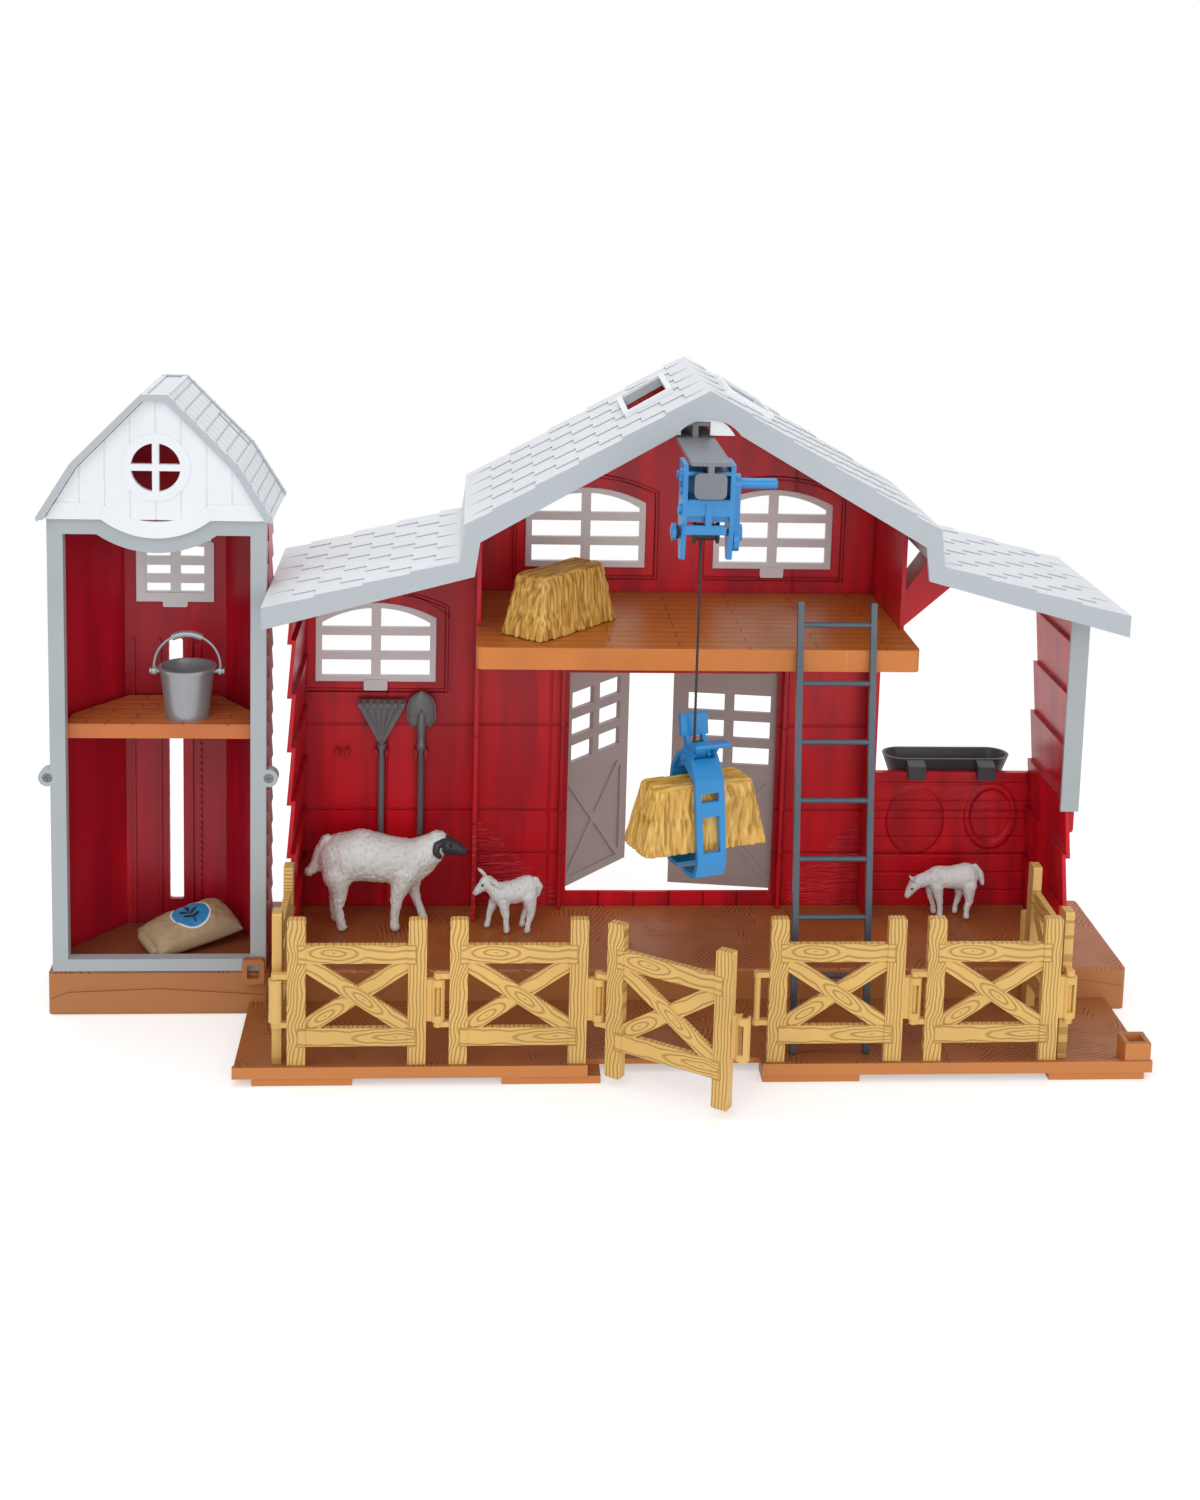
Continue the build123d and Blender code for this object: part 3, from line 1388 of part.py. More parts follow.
claw_jaw(-1, 5.9, "front", "claw_jaw_front")
claw_jaw(1, 3.6, "back", "claw_jaw_back")


def hay_bale(x, y, z, angle, label):
    """Tapered bale, wider at its foot."""
    with BuildPart() as bale:
        with BuildSketch(Plane.XY.offset(z)):
            with Locations(Location((x, y), angle)):
                RectangleRounded(bale_length, bale_width, 4)
        with BuildSketch(Plane.XY.offset(z + bale_height)):
            with Locations(Location((x, y), angle)):
                RectangleRounded(bale_length - 15, bale_width - 9, 4)
        loft()
        fillet(bale.edges().group_by(Axis.Z)[-1], radius=2.4)
    save(bale.part, label)


hay_bale(hoist_x, trolley_y, claw_bale_z, claw_turn, "claw_bale")


# ================================================================= loose play pieces
hay_bale(barn_x - 74.0, 0.0, loft_top, 50, "loft_bale")

ladder_x = 121.5
ladder_half = 21.5
ladder_foot_y = -76.5
ladder_rail = 3.2
ladder_lean = Vector(0, loft_front_y - 2.2 - ladder_foot_y, loft_top - yard_floor_z).normalized()
ladder_face = Plane(
    origin=(ladder_x, ladder_foot_y, yard_floor_z + 0.3),
    x_dir=(1, 0, 0),
    z_dir=(0, -ladder_lean.Z, ladder_lean.Y),
)
ladder_length = hypot(loft_front_y - 2.2 - ladder_foot_y, loft_top - yard_floor_z) + 26
with BuildPart() as ladder:
    with BuildSketch(ladder_face):
        for side in (-1, 1):
            with Locations((side * (ladder_half - ladder_rail / 2), ladder_length / 2)):
                Rectangle(ladder_rail, ladder_length)
    extrude(amount=1.8, both=True)
    with BuildSketch(Plane.YZ.offset(ladder_x)):
        for rung in range(8):
            along = 10 + rung * (ladder_length - 22) / 7
            with Locations((ladder_foot_y + along * ladder_lean.Y, yard_floor_z + 0.3 + along * ladder_lean.Z)):
                Circle(1.5)
    extrude(amount=ladder_half - 1, both=True)
save(ladder.part, "ladder")

tool_y = wall_face_y - 3.8
with BuildPart() as rake:
    rake_x = tool_places["rake"]
    with BuildSketch(Plane.XY.offset(67)):
        with Locations((rake_x, tool_y)):
            Circle(tool_handle_radius)
    extrude(amount=64)
    with BuildSketch(Plane.XY.offset(clip_z + 2.5)):
        with Locations((rake_x, tool_y)):
            Circle(tool_handle_radius + 0.8)
    extrude(amount=3)
    with BuildSketch(facing_viewer(tool_y + 1.2)):
        with BuildLine():
            Polyline(
                (rake_x - 14, 155.8),
                (rake_x - 14, 152.6),
                (rake_x - 2, 130),
                (rake_x + 2, 130),
                (rake_x + 14, 152.6),
                (rake_x + 14, 155.8),
                close=True,
            )
        make_face()
        for side in (-1, 1):
            with BuildLine():
                Polyline(
                    (rake_x + side * 1.6, 151.8),
                    (rake_x + side * 1.6, 136),
                    (rake_x + side * 11.4, 151.8),
                    close=True,
                )
            make_face(mode=Mode.SUBTRACT)
    extrude(amount=2.4)
    for tine in range(7):
        with BuildSketch(facing_viewer(tool_y - 1.2)):
            with Locations((rake_x - 12.6 + 4.2 * tine, 154.4)):
                Rectangle(1.8, 2.6)
        extrude(amount=7)
save(rake.part, "rake")

with BuildPart() as shovel:
    shovel_x = tool_places["shovel"]
    with BuildSketch(Plane.XY.offset(72)):
        with Locations((shovel_x, tool_y)):
            Circle(tool_handle_radius)
    extrude(amount=60)
    with BuildSketch(Plane.XY.offset(clip_z + 2.5)):
        with Locations((shovel_x, tool_y)):
            Circle(tool_handle_radius + 0.8)
    extrude(amount=3)
    with BuildSketch(facing_viewer(tool_y + 1.0)):
        with Locations((shovel_x, 152)):
            RectangleRounded(17.5, 18, 4)
        with BuildLine():
            Polyline(
                (shovel_x - 7, 145),
                (shovel_x - 2, 130),
                (shovel_x + 2, 130),
                (shovel_x + 7, 145),
                close=True,
            )
        make_face()
    extrude(amount=2.0)
save(shovel.part, "shovel")

trough_x = 219.5
trough_wall = 1.8
trough_foot_z = 100.0
trough_rim_z = 118.0
trough_y = wall_back_y + fit + 12
with BuildPart() as trough:
    for level, length, width in ((trough_foot_z, 66, 14), (trough_rim_z, 79, 24)):
        with BuildSketch(Plane.XY.offset(level)):
            with Locations((trough_x, trough_y)):
                SlotOverall(length, width)
    loft()
    for level, length, width in ((trough_foot_z + trough_wall, 66, 14), (trough_rim_z, 79, 24)):
        with BuildSketch(Plane.XY.offset(level)):
            with Locations((trough_x, trough_y)):
                SlotOverall(length - 2 * trough_wall, width - 2 * trough_wall)
    loft(mode=Mode.SUBTRACT)
    # hooks over the half wall
    for hook_x in (trough_x - 21.5, trough_x + 21.5):
        with BuildSketch(Plane.YZ.offset(hook_x - 5.3)):
            with BuildLine():
                Polyline(
                    (trough_y - 10.4, trough_rim_z),
                    (wall_face_y - 5, trough_rim_z - 2.5),
                    (wall_face_y - 5, half_wall_height - 4),
                    (wall_face_y - 3, half_wall_height - 4),
                    (wall_face_y - 3, half_wall_height + 0.4),
                    (trough_y - 9, half_wall_height + 0.4),
                    close=True,
                )
            make_face()
        extrude(amount=10.6)
save(trough.part, "trough")

sack_centre = (tower_x + 12, 26.0)
with BuildPart() as sack:
    sack_base = Plane(origin=(*sack_centre, base_height), x_dir=(cos(radians(32)), sin(radians(32)), 0), z_dir=(0, 0, 1))
    for level, grow in ((0, -6), (4, 0), (9, -1), (14, -9)):
        with BuildSketch(sack_base.offset(level)):
            RectangleRounded(48 + grow, 31 + grow, 7)
    loft()
    with BuildSketch(sack_base.offset(3)):
        Rectangle(56, 29)
    extrude(amount=1.6)
save(sack.part, "feed_sack")


def animal(x, y, z, facing, length, height, head_drop, label):
    """Standing sheep: round body, tapered legs, head on a short neck; facing +1 looks to the right."""
    body_radius = height * 0.27
    leg_height = height * 0.42
    body_z = z + leg_height + body_radius * 0.62
    half = length * 0.34
    with BuildPart() as figure:
        with BuildSketch(facing_viewer(y)):
            with Locations((x, body_z)):
                SlotOverall(2 * half, 2 * body_radius)
            with Locations((x, body_z - body_radius)):
                Rectangle(3 * half, 2 * body_radius, mode=Mode.SUBTRACT)
        revolve(axis=Axis((x, y, body_z), (1, 0, 0)))
        for leg_x in (-half * 0.62, half * 0.62):
            for leg_y in (-body_radius * 0.42, body_radius * 0.42):
                with BuildSketch(Plane.XY.offset(z)):
                    with Locations((x + leg_x, y + leg_y)):
                        Circle(height * 0.058)
                with BuildSketch(Plane.XY.offset(z + leg_height + 3)):
                    with Locations((x + leg_x, y + leg_y)):
                        Circle(height * 0.095)
                loft()
        # neck and head
        neck_root = Vector(x + facing * half * 0.7, y, body_z + body_radius * 0.35)
        head = Vector(x + facing * (half + height * 0.2), y, body_z + body_radius * 1.05 - head_drop)
        neck = head - neck_root
        with BuildSketch(Plane(origin=neck_root, z_dir=neck)):
            Circle(height * 0.15)
        with BuildSketch(Plane(origin=head, z_dir=neck)):
            Circle(height * 0.115)
        loft()
        with Locations(head):
            Sphere(height * 0.13)
        muzzle = head + Vector(facing * height * 0.24, 0, -height * 0.09)
        with BuildSketch(Plane(origin=head, z_dir=muzzle - head)):
            Circle(height * 0.115)
        with BuildSketch(Plane(origin=muzzle, z_dir=muzzle - head)):
            Circle(height * 0.07)
        loft()
        with Locations(muzzle):
            Sphere(height * 0.072)
        for ear_side in (-1, 1):
            ear_root = head + Vector(-facing * height * 0.02, ear_side * height * 0.1, height * 0.06)
            with BuildSketch(Plane(origin=ear_root, z_dir=(-facing * 0.3, ear_side, -0.25))):
                Ellipse(height * 0.055, height * 0.03)
            extrude(amount=height * 0.12)
    save(figure.part, label)


animal(-131.0, 48.0, base_height, 1, 95.0, 60.0, 0.0, "sheep")
animal(-51.0, 43.0, base_height, -1, 40.0, 38.0, 0.0, "lamb_left")
animal(223.0, 62.0, base_height, -1, 47.0, 31.0, 11.0, "lamb_right")
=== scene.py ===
import bpy
import bmesh
import math
from mathutils import Vector, Matrix, noise


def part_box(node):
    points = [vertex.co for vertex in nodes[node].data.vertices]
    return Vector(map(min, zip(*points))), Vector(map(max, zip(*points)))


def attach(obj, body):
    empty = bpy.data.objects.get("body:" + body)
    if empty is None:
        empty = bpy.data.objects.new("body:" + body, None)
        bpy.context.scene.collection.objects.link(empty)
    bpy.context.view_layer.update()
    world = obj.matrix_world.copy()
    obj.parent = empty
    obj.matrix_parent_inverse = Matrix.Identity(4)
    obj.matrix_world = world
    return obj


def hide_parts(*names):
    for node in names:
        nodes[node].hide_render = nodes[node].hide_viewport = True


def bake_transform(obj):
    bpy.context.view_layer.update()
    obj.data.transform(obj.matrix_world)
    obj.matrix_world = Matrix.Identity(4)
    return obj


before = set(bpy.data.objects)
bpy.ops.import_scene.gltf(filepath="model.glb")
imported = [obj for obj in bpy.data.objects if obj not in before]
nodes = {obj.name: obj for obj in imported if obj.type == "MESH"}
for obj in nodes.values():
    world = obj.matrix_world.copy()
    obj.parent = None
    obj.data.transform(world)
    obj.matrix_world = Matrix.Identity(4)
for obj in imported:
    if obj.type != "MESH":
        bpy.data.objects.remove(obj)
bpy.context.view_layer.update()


# ------------------------------------------------------------------ colours and values
def srgb(r, g, b):
    """A screen colour, 0 to 255, as the linear colour that Blender works in."""
    def linear(c):
        c = c / 255
        return c / 12.92 if c <= 0.04045 else ((c + 0.055) / 1.055) ** 2.4
    return (linear(r), linear(g), linear(b), 1.0)


def shade(colour, factor):
    """A colour made darker or lighter by a factor."""
    return tuple(min(1, c * factor) for c in colour[:3]) + (1,)


class Value:
    """A number worked out at each point of a surface: + - * / ** < > and abs() add Math nodes."""

    def __init__(self, mat, socket):
        self.mat = mat
        self.socket = socket

    def __add__(self, other):
        return self.mat.math("ADD", self, other)

    def __sub__(self, other):
        return self.mat.math("SUBTRACT", self, other)

    def __rsub__(self, other):
        return self.mat.math("SUBTRACT", other, self)

    def __mul__(self, other):
        return self.mat.math("MULTIPLY", self, other)

    def __truediv__(self, other):
        return self.mat.math("DIVIDE", self, other)

    def __pow__(self, other):
        return self.mat.math("POWER", self, other)

    def __lt__(self, other):
        return self.mat.math("LESS_THAN", self, other)

    def __gt__(self, other):
        return self.mat.math("GREATER_THAN", self, other)

    def __abs__(self):
        return self.mat.math("ABSOLUTE", self)

    def ramp(self, low, high):
        """0 up to low and 1 from high on, smooth between."""
        node = self.mat.nodes.new("ShaderNodeMapRange")
        node.interpolation_type = "SMOOTHSTEP"
        node.inputs["From Min"].default_value = low
        node.inputs["From Max"].default_value = high
        self.mat.feed(self, node.inputs["Value"])
        return Value(self.mat, node.outputs["Result"])

    def zigzag(self):
        """0 at every whole number, 0.5 halfway between."""
        return self.mat.math("PINGPONG", self, 0.5)


def highest(values):
    top = values[0]
    for value in values[1:]:
        top = top.mat.math("MAXIMUM", top, value)
    return top


def distance(a, b):
    return a.mat.math("SQRT", a * a + b * b)


def turned(a, b, angle):
    """The two coordinates in axes turned by an angle; for values and for plain numbers."""
    return a * math.cos(angle) + b * math.sin(angle), b * math.cos(angle) - a * math.sin(angle)


def inside(value, low, high):
    """1 where the value lies between low and high, 0 elsewhere."""
    return (value > low) * (value < high)


def edge_line(value, place, width=0.00035):
    """A thin line where a coordinate passes a place."""
    return 1.0 - abs(value - place).ramp(width * 0.5, width)


def pick(mask, a, b):
    """a where the mask is 1, b where it is 0."""
    return mask * a + (1.0 - mask) * b


# ------------------------------------------------------------------ materials
CARVED = "stalk_depth"      # the mesh attribute that carve() writes
FINE_SCALE = 900.0
FINE_DEPTH = 0.00003
UPWARD = 0.7                # a normal's z above this counts as the top face


class Mat:
    """A moulded plastic: slow colour drift and a fine texture, with tints and relief added on top."""

    def __init__(self, name, colour, rough, drift=0.10, drift_scale=18.0, coat=0.0):
        self.mat = bpy.data.materials.new(name)
        self.mat.use_nodes = True
        self.nodes = self.mat.node_tree.nodes
        self.links = self.mat.node_tree.links
        self.bsdf = self.nodes["Principled BSDF"]
        self.set("Roughness", rough)
        if coat:
            self.set("Coat Weight", coat)
            self.set("Coat Roughness", 0.25)
        self.coord = self.nodes.new("ShaderNodeTexCoord").outputs["Object"]
        wide = self.noise(drift_scale, 3).ramp(0.3, 0.7)
        self.colour = self.mix(wide, shade(colour, 1 - drift), shade(colour, 1 + drift))
        self.height = self.noise(FINE_SCALE, 2) * FINE_DEPTH
        rough_map = self.math("MULTIPLY_ADD", self.noise(drift_scale * 3, 2), 0.12, rough - 0.06)
        self.feed(rough_map, self.bsdf.inputs["Roughness"])

    def set(self, name, value):
        self.bsdf.inputs[name].default_value = value

    def feed(self, source, socket):
        """Set a socket to a number or a colour, or link it to a value or another socket."""
        if isinstance(source, Value):
            self.links.new(source.socket, socket)
        elif isinstance(source, bpy.types.NodeSocket):
            self.links.new(source, socket)
        else:
            socket.default_value = source

    def math(self, operation, a, b=0.0, c=0.0):
        node = self.nodes.new("ShaderNodeMath")
        node.operation = operation
        for source, socket in zip((a, b, c), node.inputs):
            self.feed(source, socket)
        return Value(self, node.outputs[0])

    def mix(self, factor, a, b):
        node = self.nodes.new("ShaderNodeMix")
        node.data_type = "RGBA"
        sockets = {(socket.name, socket.type): socket for socket in node.inputs}
        self.feed(factor, sockets["Factor", "VALUE"])
        self.feed(a, sockets["A", "RGBA"])
        self.feed(b, sockets["B", "RGBA"])
        return [socket for socket in node.outputs if socket.type == "RGBA"][0]

    def split(self, vector):
        """The x, y and z of a vector."""
        node = self.nodes.new("ShaderNodeSeparateXYZ")
        self.links.new(vector, node.inputs[0])
        return [Value(self, socket) for socket in node.outputs]

    def combine(self, x, y, z):
        node = self.nodes.new("ShaderNodeCombineXYZ")
        for source, socket in zip((x, y, z), node.inputs):
            self.feed(source, socket)
        return node.outputs[0]

    def axes(self):
        """The point's x, y and z in the shared frame."""
        return self.split(self.coord)

    def facing(self, axis):
        """The surface normal's part along one axis of the object."""
        geometry = self.nodes.new("ShaderNodeNewGeometry")
        return self.split(geometry.outputs["True Normal"])[axis]

    def noise(self, scale, detail=2, vector=None, distortion=0.0):
        node = self.nodes.new("ShaderNodeTexNoise")
        node.inputs["Scale"].default_value = scale
        node.inputs["Detail"].default_value = detail
        node.inputs["Distortion"].default_value = distortion
        self.links.new(self.coord if vector is None else vector, node.inputs["Vector"])
        return Value(self, node.outputs["Fac"])

    def streaks(self, detail, scales, distortion=0.0):
        """Noise with its own scale along each axis."""
        stretched = [value * scale for value, scale in zip(self.axes(), scales)]
        return self.noise(1.0, detail, self.combine(*stretched), distortion)

    def joints(self, along, across, length, width, gap):
        """The gaps between staggered planks or shingles."""
        node = self.nodes.new("ShaderNodeTexBrick")
        node.offset = 0.5
        for name, value in (
            ("Scale", 1.0), ("Mortar Size", gap), ("Mortar Smooth", 0.1),
            ("Brick Width", length), ("Row Height", width),
            ("Color1", (0, 0, 0, 1)), ("Color2", (0, 0, 0, 1)), ("Mortar", (1, 1, 1, 1)),
        ):
            node.inputs[name].default_value = value
        self.links.new(self.combine(along, across, 0.0), node.inputs["Vector"])
        return Value(self, node.outputs["Fac"])

    def carved_depth(self):
        """How deep a point lies between the stalks or curls of a carved mesh."""
        node = self.nodes.new("ShaderNodeAttribute")
        node.attribute_name = CARVED
        return Value(self, node.outputs["Fac"])

    def relief(self, value, height):
        """Raise the surface by height where the value is 1; a negative height cuts in."""
        self.height = self.math("MULTIPLY_ADD", value, height, self.height)

    def tint(self, factor, colour):
        self.colour = self.mix(factor, self.colour, colour)

    def paint_crevice_shade(self, reach, strength, colour):
        """Painted shade: darker in the narrow corners and under overlapping edges."""
        node = self.nodes.new("ShaderNodeAmbientOcclusion")
        node.samples = 4
        node.inputs["Distance"].default_value = reach
        shade_share = 1.0 - Value(self, node.outputs["AO"])
        self.tint(shade_share.ramp(0.15, 0.9) * strength, colour)

    def done(self):
        bump = self.nodes.new("ShaderNodeBump")
        bump.inputs["Distance"].default_value = 1.0
        bump.inputs["Strength"].default_value = 1.0
        self.feed(self.height, bump.inputs["Height"])
        self.feed(self.colour, self.bsdf.inputs["Base Color"])
        self.feed(bump.outputs["Normal"], self.bsdf.inputs["Normal"])
        return self.mat


def plain(name, colour, rough=0.4, metallic=0.0, **finish):
    m = Mat(name, colour, rough, **finish)
    m.set("Metallic", metallic)
    return m.done()


def painted(name, colour, rough, metallic=0.0):
    """Grey painted plastic with fine metallic flecks."""
    m = Mat(name, colour, rough, 0.05, 30)
    fleck = m.noise(2600.0, 1)
    m.tint(fleck.ramp(0.62, 0.72) * 0.35, shade(colour, 1.9))
    m.tint((1.0 - fleck.ramp(0.30, 0.38)) * 0.25, shade(colour, 0.5))
    m.set("Metallic", metallic)
    return m.done()


def carved_board(along, across, seed, pitch, sway, knot=None):
    """Carved wood grain of one board: wavy lines along it, bending round an oval knot.

    The knot is its place along the board, how far it is stretched and how far its bend reaches.
    """
    m = along.mat
    line_width = 0.17       # as a share of the pitch
    wave = m.noise(1.0, 1, m.combine(along * 55.0, across * 60.0, seed))
    level = across + (wave - 0.5) * (sway * 5)
    if knot:
        place, stretch, reach = knot
        run = m.math("MINIMUM", abs(along - place) / stretch, reach)
        level = distance(run, level)
    return 1.0 - (level / pitch).zigzag().ramp(line_width * 0.35, line_width)


# one fence panel, in metres
PANEL_MIDDLE = 0.042                                    # from where the panel starts
POST_MIDDLE, POST_INNER = 0.03125, 0.0265               # from the panel's middle
RAIL_END, BOARDS_END = 0.0305, 0.0362                   # from the panel's middle
TOP_RAIL, LOW_RAIL, RAIL_HALF = 0.071, 0.0255, 0.005    # heights above the floor, and half a rail
BRACE_MIDDLE, BRACE_HALF = 0.04825, 0.0042              # the height where the braces cross, and half a brace
BRACE_SLOPE = math.atan2(35.5, 53.0)


def fence(name, origin, angle):
    """Tan plastic with carved wood grain that follows each board of one panel."""
    m = Mat(name, srgb(224, 182, 104), 0.42, 0.05, 20)
    x, y, z = m.axes()
    u = turned(x - origin[0], y - origin[1], math.radians(angle))[0]
    sideways = u - PANEL_MIDDLE
    off = abs(sideways)
    post_u = off - POST_MIDDLE
    # the left post leans and swirls, the right post runs straight at its top
    left_lines = carved_board(z, post_u + z * 0.10, 3.1, 0.0019, 0.0022)
    right_lines = carved_board(z, post_u, 8.4, 0.0019, 0.0007)
    post_lines = pick(u > PANEL_MIDDLE, right_lines, left_lines)
    top_lines = carved_board(u, z - TOP_RAIL, 1.7, 0.0017, 0.0010, (0.030, 3.6, 0.0046))
    low_lines = carved_board(u, z - LOW_RAIL, 5.2, 0.0018, 0.0012, (0.062, 6.0, 0.0040))
    down_along, down_across = turned(sideways, z - BRACE_MIDDLE, -BRACE_SLOPE)
    up_along, up_across = turned(sideways, z - BRACE_MIDDLE, BRACE_SLOPE)
    down_lines = carved_board(down_along, down_across, 2.6, 0.0016, 0.0008, (0.004, 3.8, 0.0042))
    up_lines = carved_board(up_along, up_across, 7.9, 0.0017, 0.0010, (-0.020, 3.2, 0.0040))
    brace_lines = pick(abs(down_across) < BRACE_HALF, down_lines, up_lines)
    # the rails' ends lap over the posts with an outline
    lap = off < RAIL_END
    in_top = inside(z, TOP_RAIL - RAIL_HALF, TOP_RAIL + RAIL_HALF)
    in_low = inside(z, LOW_RAIL - RAIL_HALF, LOW_RAIL + RAIL_HALF)
    body = pick(off < POST_INNER, brace_lines, post_lines)
    lines = pick((in_top + in_low) * lap, pick(in_top, top_lines, low_lines), body)
    sides = (in_top + in_low) * edge_line(off, RAIL_END)
    rail_edges = [rail + half for rail in (TOP_RAIL, LOW_RAIL) for half in (-RAIL_HALF, RAIL_HALF)]
    ends = lap * (off > POST_INNER - 0.0002) * highest([edge_line(z, level) for level in rail_edges])
    # only on the boards' broad faces: the pin, the socket and the arms stay smooth
    lines = highest((lines, sides, ends)) * (off < BOARDS_END)
    m.relief(lines, -0.00035)
    m.tint(lines * 0.62, srgb(160, 118, 50))
    return m.done()


def wall_red(name, grooves=(), posts=(), streak=0.3, base=srgb(204, 14, 36)):
    """Red moulded wall, a little translucent, with slow brighter and darker bands and moulded grooves."""
    m = Mat(name, base, 0.34, 0.08, 14, coat=0.06)
    m.set("Specular IOR Level", 0.35)
    m.set("Subsurface Weight", 0.25)
    m.set("Subsurface Radius", (0.02, 0.002, 0.002))
    m.set("Subsurface Scale", 0.35)
    bands = m.streaks(2, (70.0, 70.0, 7.0))
    m.tint((1.0 - bands.ramp(0.36, 0.56)) * (streak * 2), srgb(150, 14, 34))
    m.tint(bands.ramp(0.55, 0.72) * streak, srgb(232, 34, 46))
    # painted shade: the red turns darker in narrow corners
    m.paint_crevice_shade(0.006, 0.55, srgb(60, 0, 8))
    x, _, z = m.axes()
    groove_width = 0.0009
    lines = [edge_line(z, height, groove_width) for height in grooves]
    lines += [edge_line(x, place, groove_width) for place in posts]
    if lines:
        groove = highest(lines)
        m.relief(groove, 0.0007)
        m.tint(groove * 0.35, srgb(120, 8, 24))
    return m


def arched_line(x, z, middle, foot, head):
    """Moulded border round a window of the back wall: straight sides, level sill, arched head."""
    half, arch = 0.0420, 0.010
    radius = (half * half + arch * arch) / (2 * arch)
    side = abs(x - middle) - half
    above = distance(x - middle, z - (head - radius)) - radius
    return edge_line(highest((side, foot - z, above)), 0.0, 0.0013)


def oval(x, z, middle, half):
    """1 on the rim of an oval, less inside it."""
    return distance((x - middle[0]) / half[0], (z - middle[1]) / half[1])


def wall_back():
    """The back wall's red, with straw heaps, window borders, sill tiles, planks, a ring and a pad."""
    m = wall_red("wall_back", (0.1395, 0.0865, 0.0595), (-0.124, -0.026, 0.117))
    x, _, z = m.axes()
    # straw heaps on both sides of the doorway
    heap_top, heap_slope = 0.083, 0.95
    for side, foot, reach in ((1, -0.072, 0.052), (-1, 0.166, 0.044)):
        run = (x - foot) * side
        heap = inside(run, 0.0, reach) * (z < heap_top - run * heap_slope)
        m.relief(heap * m.streaks(3, (60.0, 0.0, 520.0), 1.2), 0.0016)
    # borders of the three windows, and the tiles of the door's sill
    for middle, foot, head in ((-0.131, 0.1605, 0.2215), (-0.008, 0.2310, 0.2925), (0.104, 0.2310, 0.2925)):
        border = arched_line(x, z, middle, foot, head)
        m.relief(border, 0.0012)
        m.tint(border * 0.35, srgb(150, 8, 28))
    tile_places = (0.0052, 0.0269, 0.0486, 0.0698, 0.0905)
    tiles = highest([edge_line(x, place, 0.0007) for place in tile_places]) * inside(z, 0.0245, 0.0365)
    m.relief(tiles, -0.0008)
    m.tint(tiles * 0.6, srgb(90, 4, 18))
    # planks on the half wall, with a ring and a pad
    half_wall = inside(x, 0.1695, 0.272)
    plank_height, planks_top = 0.0115, 0.108
    gaps = 1.0 - (z / plank_height).zigzag().ramp(0.03, 0.09)
    m.relief(half_wall * (z < planks_top) * gaps, -0.0006)
    ring = 1.0 - abs(oval(x, z, (0.246, 0.083), (0.0165, 0.0215)) - 0.88).ramp(0.05, 0.16)
    m.relief(ring * half_wall, 0.0014)
    pad = (1.0 - oval(x, z, (0.199, 0.080), (0.0185, 0.0225)).ramp(0.92, 1.0)) * half_wall
    m.relief(pad, 0.0010)
    m.tint(pad * 0.35, srgb(140, 10, 28))
    return m.done()


def roof_plastic(name, shingle=None):
    """Pale grey with painted shadow lines under the shingles; the roof's front-facing rim is painted a
    darker grey as shade.
    """
    m = Mat(name, srgb(218, 221, 226), 0.5, 0.03, 12)
    if shingle:
        _, y, z = m.axes()
        rows = m.joints(y, z, *shingle, 0.0004) * (abs(m.facing(0)) > 0.3)
        m.relief(rows, -0.0006)
        # painted shadow lines under the shingles' edges
        m.tint(rows * 0.6, srgb(150, 156, 164))
    # painted shade: faces turned to the front are a darker grey
    m.tint((m.facing(1) * -1.0).ramp(0.6, 0.8), srgb(180, 187, 193))
    # painted shade in narrow corners and under overlapping edges
    m.paint_crevice_shade(0.0022, 0.75, srgb(110, 116, 126))
    return m.done()


def planked(name, colour, length, width):
    """Floor with plank joints on its top face, dark streaks along the planks and pale chips."""
    m = Mat(name, colour, 0.38, 0.08, 25)
    x, y, _ = m.axes()
    gaps = m.joints(x, y, length, width, 0.00055) * (m.facing(2) > UPWARD)
    m.relief(gaps, -0.0007)
    m.tint(gaps * 0.6, shade(colour, 0.30))
    m.tint(m.streaks(3, (40.0, 700.0, 60.0)).ramp(0.5, 0.75) * 0.22, shade(colour, 0.7))
    m.tint(m.streaks(2, (120.0, 260.0, 1.0)).ramp(0.72, 0.76) * 0.5, shade(colour, 1.5))
    return m.done()


def earth(name, colour, sides):
    """Brown base and yard: patches of carved strokes on the top face, each patch running its own way."""
    m = Mat(name, colour, 0.45, 0.08, 20)
    cell = m.nodes.new("ShaderNodeTexVoronoi")
    cell.inputs["Scale"].default_value = 42.0
    m.feed(m.coord, cell.inputs["Vector"])
    turn = m.nodes.new("ShaderNodeVectorRotate")
    turn.rotation_type = "Z_AXIS"
    m.feed(m.coord, turn.inputs["Vector"])
    m.feed(Value(m, cell.outputs["Color"]) * 6.28, turn.inputs["Angle"])
    along = m.split(turn.outputs[0])[0]
    strokes = (along * 380.0 + m.noise(150, 2) * 1.2).zigzag()
    patch = m.noise(55, 2).ramp(0.46, 0.58)
    top = m.facing(2) > UPWARD
    carved = (1.0 - strokes.ramp(0.02, 0.2)) * patch * top
    m.relief(carved, -0.0003)
    m.tint(carved * 0.75, shade(colour, 0.40))
    m.tint(strokes.ramp(0.36, 0.5) * patch * top * 0.35, shade(colour, 1.8))
    # painted light and shade: the side faces are painted a lighter colour than the top face
    m.tint((1.0 - top) * 0.9, sides)
    return m.done()


